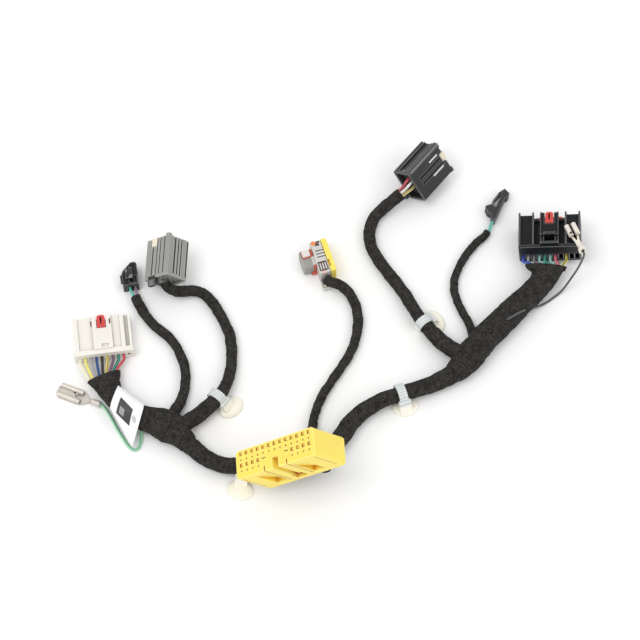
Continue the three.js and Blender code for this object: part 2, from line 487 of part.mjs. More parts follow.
// White connector
function whiteConnector() {
  const s = WHITE;
  const group = groupAt(WHITE_AT);
  const section = skyline(s.width, 0,
    [[s.leftRail, s.railHeight], [s.leftPanel, s.panelHeight]],
    [[s.rightRail, s.railHeight - 0.3], [s.rightGroove, s.grooveHeight], [s.rightLedge, s.railHeight],
      [s.rightPanel, s.panelHeight]],
    s.panelTop);
  const body = runAlongY(section, s.flangeLength - OVERLAP, s.length);
  const half = s.width / 2 + s.flangeReach;
  const flange = runAlongY(chamfered(-half, half, 0, s.flangeHeight, 0.6), 0, s.flangeLength);
  const armStart = s.length - s.armLength;
  const armRight = s.armShift + s.armSpan / 2;
  const armLeft = s.armShift - s.armSpan / 2;
  const armRoof = s.panelHeight - s.armRoof;
  const arms = [armLeft, armRight].flatMap((x) => {
    const half = s.armWidth / 2 + GAP;
    return [
      block(x - half, x + half, armStart - GAP, s.length + PAST, s.lockFoot - 1.5, armRoof),
      block(x - s.slitWidth / 2, x + s.slitWidth / 2, armStart - GAP, s.length - s.slitEnd,
        armRoof - OVERLAP, s.panelTop + PAST),
    ];
  });
  const cross = block(armLeft - s.armWidth / 2 - GAP, armRight + s.armWidth / 2 + GAP,
    armStart - GAP, s.length + PAST, s.lockFoot - 1.5, s.lockFoot + GAP);
  const notch = block(-0.6, 2.6, s.flangeLength + 0.4, s.flangeLength + 2.4,
    s.panelTop - 0.5, s.panelTop + PAST);
  const housing = cut(joined(body, flange), lockPocket(s, s.length), arms, cross, notch,
    cavityRow(s.ways, s.pitch, s.cavityHeight, s.cavity, s.length - s.cavityDepth, s.length + PAST),
    Array.from({ length: s.ways }, (_, way) =>
      rod(wayX(way, s.ways, s.pitch), s.wireHeight, CAVITY_RADIUS, -PAST, CAVITY_DEPTH)));
  addPiece(group, 'white_housing', housing, IVORY, 0.45);

  const bridge = block(armLeft - s.armWidth / 2, armRight + s.armWidth / 2,
    armStart, s.length - 0.4, s.lockFoot - 1.2, s.lockFoot);
  const fins = [armLeft, armRight].map((x) => block(x - s.armWidth / 2, x + s.armWidth / 2,
    armStart, s.length - 0.4, s.lockFoot - 1.2, armRoof - GAP));
  addPiece(group, 'white_lock', joined(lockTongue(s, s.length), bridge, fins), RED, 0.4);

  const funnel = swollen(LEFT_JOINT);
  for (let way = 0; way < s.wired; way += 1) {
    const share = -0.86 + (1.72 * way) / (s.wired - 1);
    const mouth = mouthPoint(LEFT_JOINT[0], LEFT_JOINT[1], -share, 0.3);
    const wire = leadWire(WHITE_AT, wayX(way, s.ways, s.pitch), s.wireHeight, mouth);
    addPiece(harness, `white_wire_${way + 1}`, trimmed(wire, funnel), WHITE_WIRE_COLOURS[way], 0.5);
  }
}
const WHITE_WIRE_COLOURS = [
  0xf1e9cf, 0xf0e882, 0xa5a5aa, 0x3c5f98, 0x2d2a2a, 0xe6d884, 0x6e4b69, 0x1e6e5a, 0xc64c56,
];

// Black connector
function blackConnector() {
  const s = BLACK;
  const group = groupAt(BLACK_AT);
  const bands = [
    [s.wall, s.rimHeight], [s.panel, s.panelHeight], [s.rib, s.rimHeight], [s.channel, s.channelHeight],
  ];
  const latchHalf = s.width / 2 - s.wall - s.panel - s.rib - s.channel;
  const body = runAlongY(skyline(s.width, 0, bands, bands, s.latchHeight), s.capLength - OVERLAP, s.length);
  const cap = runAlongY(chamfered(-s.width / 2, s.width / 2, 0, s.capHeight, 0.8), 0, s.capLength);
  const ribX = s.width / 2 - s.wall - s.panel - s.rib / 2;
  const posts = [-s.width / 2 + s.wall / 2, -ribX, -latchHalf + s.rib / 2, latchHalf - s.rib / 2, ribX,
    s.width / 2 - s.wall / 2].map((x) =>
    block(x - s.rib / 2, x + s.rib / 2, s.length - 1, s.length + s.postReach, s.rimHeight - 2, s.rimHeight + 0.2));
  const window = block(-s.windowWidth / 2, s.windowWidth / 2, s.windowNear, s.windowFar,
    s.latchHeight - s.windowDepth, s.latchHeight + PAST);
  const shelves = [-1, 1].map((side) => {
    const x = side * (s.windowWidth / 2 + latchHalf) / 2;
    const shelf = (latchHalf - s.windowWidth / 2) / 2;
    return block(x - shelf - PAST, x + shelf + PAST, s.windowNear, s.windowFar,
      s.latchHeight - 0.9, s.latchHeight + PAST);
  });
  const crossbar = block(-s.windowWidth / 2 - 0.2, s.windowWidth / 2 + 0.2, s.windowFar + 0.2,
    s.windowFar + 0.2 + s.crossbar, s.latchHeight - 1, s.latchHeight + s.crossbarRise);
  const comb = Array.from({ length: s.ways }, (_, way) => {
    const x = wayX(way, s.ways, s.pitch);
    const half = (s.pitch - s.combFin) / 2;
    return block(x - half, x + half, -PAST, s.combDepth, s.combFoot, s.combFoot + s.combHeight);
  });
  const housing = cut(joined(body, cap, posts, crossbar), window, shelves, comb, lockPocket(s, s.length),
    cavityRow(s.ways, s.pitch, s.cavityHeight, s.cavity, s.length - s.cavityDepth, s.length + PAST));
  addPiece(group, 'black_housing', housing, BLACK_COLOUR, 0.35);
  addPiece(group, 'black_lock', lockTongue(s, s.length), RED, 0.4);

  const funnel = swollen(RIGHT_JOINT);
  BLACK_WIRED.forEach((way, place) => {
    const share = -0.86 + (1.72 * place) / (BLACK_WIRED.length - 1);
    const last = RIGHT_JOINT.length - 1;
    const mouth = mouthPoint(RIGHT_JOINT[last], RIGHT_JOINT[last - 1], -share, share * 0.9);
    const wire = leadWire(BLACK_AT, wayX(way, s.ways, s.pitch), s.wireHeight, mouth);
    addPiece(harness, `black_wire_${place + 1}`, trimmed(wire, funnel), BLACK_WIRE_COLOURS[place], 0.5);
  });
}
const BLACK_WIRE_COLOURS = [0x465fb9, 0xc8c8c8, 0x8a8a8a, 0xa0cdc8, 0x469b82, 0xa0cdc8, 0xd98f98, 0xe1d764];

// Yellow main connector
function yellowConnector() {
  const s = YELLOW;
  const group = groupAt(YELLOW_AT);
  const body = runAlongY(chamfered(-s.width / 2, s.width / 2, 0, s.height, s.corner), 0, s.length);
  const top = s.height + PAST;
  const rows = [];
  for (let way = 0; way < s.ways; way += 1) {
    const x = wayX(way, s.ways, s.pitch);
    const grouped = way < s.grouped || way >= s.ways - s.grouped;
    for (const z of grouped ? [s.firstRow, s.secondRow] : [s.firstRow]) {
      const half = s.cavity / 2;
      rows.push(block(x - half, x + half, s.length - s.cavityDepth, s.length + PAST, z - half, z + half));
      rows.push(rod(x, z + s.probeDrop, s.probeRadius, s.length - s.probeDepth, s.length + PAST, 6));
      rows.push(rod(x, z, CAVITY_RADIUS, -PAST, CAVITY_DEPTH, 8));
    }
  }
  const keys = [-1, 1].map((side) => block(side * s.keySlotAt - s.keySlot / 2, side * s.keySlotAt + s.keySlot / 2,
    s.length - 3, s.length + PAST, s.secondRow - 0.4, s.secondRow - 0.4 + s.keySlotHeight));
  const grooves = [-1, 1].map((side) => {
    const x = side * s.bridge / 2;
    return block(x - s.grooveWidth / 2, x + s.grooveWidth / 2, s.grooveEnd, s.length + PAST,
      s.height - s.grooveDepth, top);
  });
  const channel = block(-s.channelWidth / 2, s.channelWidth / 2, s.channelEnd, s.length + PAST,
    s.height - s.channelDepth, top);
  const windowLength = s.lockHeadLength + LOCK_TRAVEL + 2 * GAP;
  const window = block(-s.windowWidth / 2, s.windowWidth / 2, s.channelEnd, s.channelEnd + windowLength,
    s.height - s.channelDepth, top);
  const wedge = outline([[s.pocketStart, s.height - s.pocketDepth], [s.pocketStart + s.pocketLength, top - PAST],
    [s.pocketStart + s.pocketLength, top], [s.pocketStart, top]]);
  const pockets = [runAcrossX(wedge, s.pocketNear, s.pocketFar), runAcrossX(wedge, -s.pocketFar, -s.pocketNear)];
  const outer = [-1, 1].map((side) => {
    const x = side * (s.width / 2 - s.outerGroove);
    return block(x - 0.25, x + 0.25, s.pocketStart, s.length - 2, s.height - s.outerGrooveDepth, top);
  });
  const housing = cut(body, rows, keys, grooves, channel, window, pockets, outer);
  addPiece(group, 'yellow_housing', housing, YELLOW_COLOUR, 0.45);

  const foot = s.height - s.channelDepth + GAP;
  const start = s.channelEnd + GAP;
  const slider = block(-s.lockWidth / 2, s.lockWidth / 2, start, start + s.lockLength,
    foot, foot + s.lockHeight);
  const head = block(-s.lockHeadWidth / 2, s.lockHeadWidth / 2, start, start + s.lockHeadLength,
    foot, foot + s.lockHeight + 0.6);
  addPiece(group, 'yellow_lock', joined(slider, head), RED, 0.4);

  // The wires leave the rear face as a fan that gathers just above the taped leg
  const [mouth, next] = MAIN_LEG;
  const gathered = mouthPoint(mouth, next, 0);
  const knot = [gathered.approach(2.6), gathered.approach(GAP)]
    .map((point, end) => [...point, mouth[3] - 1.6 + end * 0.6, mouth[4] - 1.2]);
  const fan = [loft(knot, TAPE_SIDES, 1)];
  for (let way = 0; way < s.ways; way += 1) {
    const x = wayX(way, s.ways, s.pitch);
    const grouped = way < s.grouped || way >= s.ways - s.grouped;
    for (const z of grouped ? [s.firstRow, s.secondRow] : [s.firstRow]) {
      const share = (0.8 * x) / wayX(s.ways - 1, s.ways, s.pitch);
      const end = mouthPoint(mouth, next, share, z > s.firstRow ? 1 : -1);
      fan.push(wireAlong([worldPoint(YELLOW_AT, x, WIRE_IN_CAVITY, z), worldPoint(YELLOW_AT, x, 0, z),
        worldPoint(YELLOW_AT, x * 0.94, -1.8, z), end.approach(3.6), end.approach(1)]));
    }
  }
  addPiece(harness, 'yellow_wires', joined(fan), BLACK_COLOUR, 0.5);
}

// Grey connector
function grooveCuts(grooves, width, height, y0, y1, side) {
  return grooves.map(([from, wide, deep]) => (side === 'top'
    ? block(width / 2 - from - wide / 2, width / 2 - from + wide / 2, y0, y1, height - deep, height + PAST)
    : block(width / 2 - deep, width / 2 + PAST, y0, y1, height - from - wide / 2, height - from + wide / 2)));
}

function cavityGrid(s, y0, y1) {
  const grid = [];
  for (let row = 0; row < s.rows; row += 1) {
    const z = s.height / 2 + wayX(row, s.rows, s.pitch);
    grid.push(...cavityRow(s.columns, s.pitch, z, s.cavity, y0, y1));
  }
  return grid;
}

function greyConnector() {
  const s = GREY;
  const group = groupAt(GREY_AT);
  const half = s.width / 2;
  const body = runAlongY(chamfered(-half, half, 0, s.height, s.corner), 0, s.length);
  const bump = block(half - s.bumpWidth - 0.4, half - 0.4, s.length - 1, s.length + s.bumpReach,
    s.height - 2.2, s.height);
  const opening = chamfered(-half + s.wall, half - s.wall, s.wall, s.height - s.wall, s.corner);
  const recess = runAlongY(opening, -PAST, s.recess);
  const pocket = block(half - s.retainerFar - GAP, half - s.retainerNear + GAP, s.length - s.retainerDepth,
    s.length + PAST, s.height - s.retainerHeight - GAP, s.height + PAST);
  const tabLeft = -half + s.tabFrom;
  const tabRight = tabLeft + s.tabWidth;
  const tabSeat = block(tabLeft - GAP, tabRight + GAP, -PAST, s.tabSeat + GAP, s.tabFoot - GAP, s.height + PAST);
  const housing = cut(joined(body, bump), recess, pocket, tabSeat,
    cavityGrid(s, -PAST, s.recess + s.cellDepth),
    grooveCuts(s.topGrooves, s.width, s.height, s.grooveEnd, s.length + PAST, 'top'),
    grooveCuts(s.sideGrooves, s.width, s.height, s.grooveEnd, s.length + PAST, 'side'),
    cavityGrid(s, s.length - s.cavityDepth, s.length + PAST));
  addPiece(group, 'grey_housing', housing, GREY_COLOUR, 0.5);
  addPiece(group, 'grey_retainer', block(half - s.retainerFar, half - s.retainerNear, s.length - s.retainerDepth + GAP,
    s.length + s.retainerReach, s.height - s.retainerHeight, s.height - 0.2), CREAM, 0.5);
  const tabTop = s.tabFoot + s.tabHeight;
  const tab = block(tabLeft, tabRight, -s.tabReach, s.tabSeat, s.tabFoot, tabTop);
  const hollow = block(tabLeft + 0.7, tabRight - 0.7, -s.tabReach - PAST, -0.6, s.tabFoot + 0.6, tabTop - 0.5);
  addPiece(group, 'grey_cap', cut(tab, hollow), BLACK_COLOUR, 0.4);
}

// Dark connector
function darkConnector() {
  const s = DARK;
  const group = groupAt(DARK_AT);
  const half = s.width / 2;
  const body = runAlongY(chamfered(-half, half, 0, s.height, s.corner), 0, s.length);
  const rims = [[-half, -half + s.rimWidth], [half - s.rimWidth, half]].map(([x0, x1]) =>
    block(x0, x1, s.length - 1, s.length + s.rimReach, s.height - 3, s.height - 0.2));
  const opening = chamfered(-half + s.wall, half - s.wall, s.wall, s.height - s.wall, s.corner);
  const recess = runAlongY(opening, -PAST, s.recess);
  const slots = [s.latchNear, s.latchFar].map((from) => block(-half + from - s.slotWidth / 2, -half + from + s.slotWidth / 2,
    s.slotNear, s.slotNear + s.slotLength, s.height - s.slotDepth, s.height + PAST));
  const bands = s.bandNear.map((from) => block(-half + from, -half + from + s.bandWidth, 4, s.length + PAST,
    s.height - s.bandDepth, s.height + PAST));
  const notch = block(-half + s.latchNear + s.slotWidth, -half + s.latchFar - s.slotWidth, s.length - s.latchNotch,
    s.length + PAST, s.height - s.latchNotchDepth, s.height + PAST);
  const sideCuts = s.sideGrooves.map(([from, wide, deep]) => block(-half - PAST, -half + deep, s.grooveEnd,
    s.length + PAST, s.height - from - wide / 2, s.height - from + wide / 2));
  const sidePanel = block(-half - PAST, -half + s.sidePanelDepth, s.grooveEnd, s.length + PAST,
    s.height - s.sidePanelFar, s.height - s.sidePanelNear);
  const tab = block(1.6, 1.6 + s.tabWidth, -s.tabReach, 0.4, 0.3, s.tabHeight);
  const housing = cut(joined(body, rims, tab), recess, slots, bands, notch, sideCuts, sidePanel,
    cavityGrid({ ...s, height: s.height - s.latchNotchDepth - 0.4 }, s.length - s.cavityDepth, s.length + PAST));
  addPiece(group, 'dark_housing', housing, DARK_COLOUR, 0.45);
  const retainer = block(-half + s.latchNear + s.slotWidth + GAP, -half + s.latchFar - s.slotWidth - GAP,
    s.length - s.latchNotch + GAP, s.length + s.retainerReach, s.height - s.latchNotchDepth + GAP,
    s.height - s.latchNotchDepth + GAP + s.retainerHeight);
  addPiece(group, 'dark_retainer', retainer, CREAM, 0.5);

  const sleeve = swollen(DARK_BRANCH);
  DARK_WIRES.forEach(([x, z], place) => {
    const mouth = mouthPoint(DARK_BRANCH[0], DARK_BRANCH[1], 0.58 - 0.58 * place, 1.2);
    const points = [worldPoint(DARK_AT, x, 1.6, z - 1), worldPoint(DARK_AT, x, -0.8, z - 1),
      mouth.approach(2.4), mouth.approach(-TAPE_OVERLAP)];
    addPiece(harness, `dark_wire_${place + 1}`, trimmed(wireAlong(points), sleeve), DARK_WIRE_COLOURS[place], 0.5);
  });
}
const DARK_WIRE_COLOURS = [0xc25a64, 0xf2f2ee, 0xe0d690];

// Small two-way connector
function smallConnector() {
  const s = SMALL;
  const group = groupAt(SMALL_AT);
  const half = s.width / 2;
  const plan = outline([[-half, 0], [half, 0], [half, s.length - s.corner], [half - s.corner, s.length],
    [half - s.corner - 2, s.length], [-half + 0.6, s.length - s.frontCorner], [-half, s.length - s.frontCorner - 1]]);
  const body = toSolid(new THREE.ExtrudeGeometry(plan, { depth: s.height, bevelEnabled: false }));
  const latch = block(-s.latchWidth / 2 - 0.4, s.latchWidth / 2 - 0.4, 3.0, s.length - 3.2, s.height - 0.5,
    s.height + s.latchHeight);
  const seam = block(-0.9, -0.3, 5.6, s.length - 2.0, s.height - s.latchGap, s.height + s.latchHeight + PAST);
  const step = block(-half - PAST, -0.9, 7.0, 7.5, s.height - s.latchGap, s.height + PAST);
  const wing = block(-half - s.wingReach, -half + 1, 3.6, 3.6 + s.wingLength, 1.4, s.height - 1.6);
  const mouth = block(-s.mouthWidth / 2 + 0.6, s.mouthWidth / 2 + 0.6, -PAST, s.mouthDepth,
    s.wireHeight - s.mouthHeight / 2, s.wireHeight + s.mouthHeight / 2);
  const window = block(-0.4, half - 0.7, s.windowStart, s.windowEnd, s.height - s.windowDepth, s.height + PAST);
  const housing = cut(joined(body, latch, wing), mouth, seam, step, window);
  addPiece(group, 'small_housing', housing, BLACK_COLOUR, 0.25);

  const sleeve = swollen(SMALL_BRANCH);
  [-1, 1].forEach((side, place) => {
    const mouthEnd = mouthPoint(SMALL_BRANCH[0], SMALL_BRANCH[1], -0.45 * side, 0.2);
    const points = [worldPoint(SMALL_AT, 0.6 + side * s.wireSpread, s.mouthDepth - 0.4, s.wireHeight),
      worldPoint(SMALL_AT, 0.6 + side * s.wireSpread, 0, s.wireHeight),
      mouthEnd.approach(1.6), mouthEnd.approach(-TAPE_OVERLAP)];
    addPiece(harness, `small_wire_${place + 1}`, trimmed(wireAlong(points), sleeve), SMALL_WIRE_COLOURS[place], 0.5);
  });
}
const SMALL_WIRE_COLOURS = [0x73c3b4, 0x96829a];

// One-way connector
function onewayConnector() {
  const s = ONEWAY;
  const group = groupAt(ONEWAY_AT);
  const bar = s.barHalf;
  const profile = outline([
    [0, -bar], [s.headStart, -bar], [s.headStart + 0.6, -s.headHalf], [s.headStart + 3, -s.headHalf - 0.2],
    [s.length, bar * 0.8], [s.armEnd + 1, bar + 0.4], [s.armEnd, s.armHeight - 0.1], [s.armEnd - 1.4, s.armHeight],
    [10.6, s.armHeight + 0.9], [s.rampEnd + 0.4, s.armHeight + 0.7], [s.rampEnd - 1.4, s.rampHeight + 0.3],
    [s.rampEnd - 2.6, s.rampHeight], [s.rampEnd - 3.2, s.rampHeight - 1.4], [s.rampStart + 0.8, s.rampHeight - 1.2],
    [s.rampStart, bar + 0.3], [0, bar],
  ]);
  const under = outline([[s.rampEnd, bar], [s.rampEnd, s.armHeight - 0.2], [10.6, s.armHeight],
    [s.armEnd - 1.6, s.armHeight - s.armThickness - 0.4], [s.armEnd - 1.0, bar]]);
  const opening = runAcrossX(under, -s.width / 2 - PAST, s.width / 2 + PAST);
  const body = cut(runAcrossX(profile, -s.width / 2, s.width / 2), opening);
  const bore = rod(0, 0, WIRE_RADIUS + 0.3, -PAST, 3, 8);
  const waist = [-1, 1].map((side) => block(side * (s.width / 2 - 0.5) - 0.5, side * (s.width / 2 - 0.5) + 0.5,
    s.rampEnd + 1, s.armEnd + PAST * 0.5, bar + 0.2, s.armHeight + 2));
  addPiece(group, 'oneway_housing', cut(body, bore, waist), DARK_COLOUR, 0.4);

  const mouth = mouthPoint(ONEWAY_BRANCH[0], ONEWAY_BRANCH[1], 0);
  const points = [worldPoint(ONEWAY_AT, 0, 2.6, 0), worldPoint(ONEWAY_AT, 0, 0, 0),
    worldPoint(ONEWAY_AT, 0, -2.6, 0), mouth.approach(1.4), mouth.approach(-TAPE_OVERLAP)];
  addPiece(harness, 'oneway_wire', trimmed(wireAlong(points, 0.8), swollen(ONEWAY_BRANCH)), 0x6fb9ae, 0.5);
}

// Airbag igniter plug
function squibPlug() {
  const s = SQUIB;
  const group = groupAt(SQUIB_AT);
  const end = new THREE.Shape();
  const round = 2.4;
  end.moveTo(s.low, 0);
  end.lineTo(s.high - round, 0);
  end.absarc(s.high - round, round, round, -Math.PI / 2, 0, false);
  end.lineTo(s.high, s.height - round);
  end.absarc(s.high - round, s.height - round, round, 0, Math.PI / 2, false);
  end.lineTo(s.low, s.height);
  const swung = new THREE.ExtrudeGeometry(end, { depth: s.front - s.back, bevelEnabled: false, curveSegments: 3 });
  const main = toSolid(swung.rotateX(Math.PI / 2).translate(0, s.front, 0));
  const tongue = block(s.tongueEnd, s.low + 0.2, s.back + 1.2, s.front, s.tongueFoot, s.tongueHeight);
  const ridges = Array.from({ length: s.ridges }, (_, row) => {
    const x = s.ridgeStart + row * s.ridgePitch;
    return block(x, x + s.ridgeWidth, s.back - PAST, s.front - 1, s.height - s.ridgeDepth, s.height + PAST);
  });
  const window = block(s.windowStart, s.windowStart + s.windowLength, s.back + 0.8, s.front - 0.6,
    s.height - s.windowDepth, s.height + PAST);
  const bars = Array.from({ length: s.bars }, (_, row) => {
    const x = s.windowStart + 0.6 + row * (s.windowLength - 0.6) / s.bars;
    return block(x, x + s.barWidth, s.back + 0.6, s.front - 0.4, s.height - s.windowDepth - 0.2, s.height - 0.6);
  });
  const dimple = rod(s.high - 2.6, s.height - 0.2, 1.0, s.back + 1.0, s.back + 3.0, 8);
  const body = joined(cut(joined(main, tongue), ridges, window, dimple), bars);
  addPiece(group, 'squib_housing', body, LIGHT_GREY, 0.5);

  const blockStart = s.front + GAP + s.sealReach + GAP;
  const blockEnd = s.front + s.blockReach;
  const tabX = s.blockHigh - s.tabWidth;
  const side = runAlongY(chamfered(s.blockLow, s.blockHigh, s.blockFoot, s.blockHeight, 0.6), blockStart, blockEnd);
  const tab = block(tabX + 0.5, s.blockHigh - 0.7, blockStart, blockStart + s.tabLength, s.blockHeight - 0.5,
    s.blockHeight + s.tabRise);
  addPiece(group, 'squib_block', joined(side, tab), 0x96968f, 0.5);

  const seal = runAlongY(chamfered(s.blockLow - 0.3, s.blockHigh + 0.3, s.blockFoot - 0.2, s.blockHeight + 0.4, 0.7),
    s.front + GAP, s.front + GAP + s.sealReach);
  addPiece(group, 'squib_seal', seal, ORANGE, 0.45);

  const arc = new THREE.Shape();
  const bend = 3.6;
  arc.moveTo(s.coverLow, 0.1);
  arc.lineTo(s.coverHigh - bend, 0.1);
  arc.absarc(s.coverHigh - bend, bend + 0.1, bend, -Math.PI / 2, 0, false);
  arc.lineTo(s.coverHigh, s.coverHeight - bend);
  arc.absarc(s.coverHigh - bend, s.coverHeight - bend, bend, 0, Math.PI / 2, false);
  arc.lineTo(s.coverLow, s.coverHeight);
  const shell = new THREE.ExtrudeGeometry(arc, { depth: s.coverThickness, bevelEnabled: false, curveSegments: 4 });
  const cover = toSolid(shell.rotateX(Math.PI / 2).translate(0, s.back - GAP, 0));
  const scallop = block(s.coverLow + 2.6, s.coverLow + 6.4, s.back - GAP - 0.9, s.back + PAST, s.coverHeight - 1.6,
    s.coverHeight + PAST);
  addPiece(group, 'squib_cover', cut(cover, scallop), YELLOW_COLOUR, 0.4);
}

// Blade receptacle on the green wire
function bladeTerminal() {
  const s = BLADE;
  const group = groupAt(BLADE_AT);
  const half = s.width / 2;
  const end = s.bodyStart + s.bodyLength;
  const plan = outline([[-half + 0.6, s.bodyStart], [half - 0.6, s.bodyStart], [half, s.bodyStart + 1.6],
    [half, end - s.noseChamfer], [half - s.noseChamfer, end], [-half + s.noseChamfer, end],
    [-half, end - s.noseChamfer], [-half, s.bodyStart + 1.6]]);
  const plate = toSolid(new THREE.ExtrudeGeometry(plan, { depth: s.plate, bevelEnabled: false }));
  const curls = [-1, 1].map((side) => {
    const x = side * (half - s.curlRadius);
    return rod(x, s.curlRadius + 0.15, s.curlRadius, s.bodyStart + 0.9, end - 1.0, 10);
  });
  const neck = block(-s.neckWidth / 2, s.neckWidth / 2, s.crimpLength - 0.6, s.bodyStart + 0.6, 0, s.plate);
  const barrel = rod(0, s.crimpRadius, s.crimpRadius, 0, s.crimpLength, 12);
  const bore = rod(0, s.crimpRadius, s.crimpBore, -PAST, s.crimpLength - 0.9, 10);
  const peep = toSolid(new THREE.CylinderGeometry(0.55, 0.55, 4, 8).rotateX(Math.PI / 2)
    .translate(0.6, s.bodyStart + 3.4, 0));
  addPiece(group, 'blade_terminal', cut(joined(plate, curls, neck, barrel), bore, peep), TIN, 0.3, 0.9);
}

// Double-barrel terminal, lying on the black housing
function barrelTerminal() {
  const s = BARREL;
  const foot = BLACK.rimHeight + GAP + s.lift;
  const along = new THREE.Vector2(s.tip[0] - s.crimp[0], s.tip[1] - s.crimp[1]);
  const reach = along.length();
  const up = new THREE.Vector3(...BLACK_AT.top);
  const frame = frameOf(BLACK_AT);
  const edge = BLACK.width / 2;
  const start = new THREE.Vector3(edge + s.crimp[0], s.crimp[1], foot).applyMatrix4(frame);
  const tip = new THREE.Vector3(edge + s.tip[0], s.tip[1], foot).applyMatrix4(frame);
  const place = { at: start.toArray(), mating: tip.sub(start).toArray(), top: up.toArray() };
  const group = groupAt(place);
  const tubes = [-1, 1].map((side) => {
    const x = side * s.spread / 2;
    return cut(rod(x, s.outer, s.outer, reach - s.length, reach, 10),
      rod(x, s.outer, s.inner, reach - s.length + 1.2, reach + PAST, 8));
  });
  const neckEnd = s.crimpLength + s.neckLength;
  const arms = [-1, 1].map((side) => {
    const arm = outline([[side * 0.1, neckEnd - 0.5], [side * s.neckWidth / 2, neckEnd - 0.5],
      [side * (s.spread / 2 + s.armWidth / 2), reach - s.length + 0.6], [side * (s.spread / 2 - s.armWidth / 2),
        reach - s.length + 0.6]]);
    return toSolid(new THREE.ExtrudeGeometry(arm, { depth: s.plate, bevelEnabled: false }));
  });
  const neck = block(-s.neckWidth / 2, s.neckWidth / 2, s.crimpLength - 0.5, neckEnd, 0, s.plate);
  const barrel = cut(joined(rod(0, s.crimpRadius, s.crimpRadius, 0, s.crimpLength, 12),
    rod(0, s.crimpRadius, s.bellRadius, 0, s.bellLength, 12)),
  rod(0, s.crimpRadius, s.crimpBore, -PAST, s.crimpLength - 0.8, 10));
  addPiece(group, 'barrel_terminal', joined(tubes, arms, neck, barrel), TIN, 0.3, 0.9);
  return place;
}

// Tie clips
function tieClip(name, { at, along, tapeWidth, tapeHeight, foot, footTurn }) {
  const s = CLIP;
  const place = { at, mating: along, top: [0, 0, 1] };
  const group = groupAt(place);
  const ring = (rx, rz) => {
    const shape = new THREE.Shape();
    shape.absellipse(0, 0, rx, rz, 0, 2 * Math.PI, false, 0);
    return runAlongY(new THREE.Shape(shape.getPoints(20).slice(0, -1)), -s.bandWidth / 2, s.bandWidth / 2);
  };
  const hole = ring(tapeWidth / 2 + GAP, tapeHeight / 2 + GAP).scale([1, 2, 1]);
  const band = cut(ring(tapeWidth / 2 + GAP + s.bandThickness, tapeHeight / 2 + GAP + s.bandThickness), hole);
  const floor = -at[2] + 0.1;
  const apex = new THREE.Vector2(0, 1);
  const dome = [[0, 0], [1, 0], [1, 0.3], [0.94, 0.56], [0.76, 0.82], [0.44, 0.96]]
    .map(([radius, height]) => new THREE.Vector2(radius, height));
  const oval = new THREE.LatheGeometry([...dome, apex], 20).rotateX(Math.PI / 2)
    .scale(s.footLength / 2, s.footWidth / 2, s.footThickness);
  const padFoot = toSolid(oval).rotate([0, 0, footTurn]).translate([foot[0], foot[1], floor]);
  const out = Math.sign(foot[0]);
  const beside = tapeWidth / 2 + GAP + s.bandThickness;
  const side = outline([[beside - 0.7, floor + 0.3], [beside + s.neckReach, floor + 0.3],
    [beside + s.neckReach, floor + s.footThickness * 0.8], [beside + 0.5, s.neckTop], [beside - 0.7, s.neckTop]]
    .map(([across, up]) => [out * across, up]));
  const neck = runAlongY(side, -s.neckWidth / 2, s.neckWidth / 2);
  const keep = hole.scale([1, 4, 1]);
  addPiece(group, name, joined(band, cut(joined(neck, padFoot), keep)), NYLON, 0.4);
}

// Flag label: a film laid over the bundle
function flagLabel() {
  const s = LABEL;
  const edge = (points) => new THREE.CatmullRomCurve3(points.map((point) => new THREE.Vector3(...point)));
  const left = edge(LABEL_LEFT);
  const right = edge(LABEL_RIGHT);
  const rows = s.along;
  const grid = [];
  for (let row = 0; row <= rows; row += 1) {
    for (let column = 0; column <= s.across; column += 1) {
      grid.push(left.getPoint(row / rows).lerp(right.getPoint(row / rows), column / s.across));
    }
  }
  const width = s.across + 1;
  const normalAt = (row, column) => {
    const at = (r, c) => grid[THREE.MathUtils.clamp(r, 0, rows) * width + THREE.MathUtils.clamp(c, 0, s.across)];
    const down = at(row + 1, column).clone().sub(at(row - 1, column));
    const over = at(row, column + 1).clone().sub(at(row, column - 1));
    return down.cross(over).normalize();
  };
  const positions = [];
  for (const offset of [0, s.thickness]) {
    for (let row = 0; row <= rows; row += 1) {
      for (let column = 0; column < width; column += 1) {
        positions.push(...grid[row * width + column].clone()
          .addScaledVector(normalAt(row, column), offset).toArray());
      }
    }
  }
  const top = (rows + 1) * width;
  const index = [];
  const face = (a, b, c, d) => index.push(a, b, c, a, c, d);
  for (let row = 0; row < rows; row += 1) {
    for (let column = 0; column < s.across; column += 1) {
      const a = row * width + column;
      face(a, a + 1, a + width + 1, a + width);
      face(top + a, top + a + width, top + a + width + 1, top + a + 1);
    }
  }
  const wall = (a, b) => face(a, b, top + b, top + a);
  for (let row = 0; row < rows; row += 1) {
    wall((row + 1) * width + s.across, row * width + s.across);
    wall(row * width, (row + 1) * width);
  }
  for (let column = 0; column < s.across; column += 1) {
    wall(column + 1, column);
    wall(rows * width + column, rows * width + column + 1);
  }
  const geometry = new THREE.BufferGeometry();
  geometry.setAttribute('position', new THREE.BufferAttribute(new Float32Array(positions), 3));
  geometry.setIndex(index);
  let film = toSolid(geometry);
  if (film.volume() < 0) {
    geometry.setIndex(index.map((_, i) => index[i - (i % 3) + 2 - (i % 3)]));
    film = toSolid(geometry);
  }
  addPiece(harness, 'flag_label', film, PAPER, 0.6);
}

whiteConnector();
blackConnector();
yellowConnector();
greyConnector();
darkConnector();
smallConnector();
onewayConnector();
squibPlug();
bladeTerminal();
barrelTerminal();
flagLabel();

for (const [name, clip] of Object.entries(CLIPS)) tieClip(name, clip);

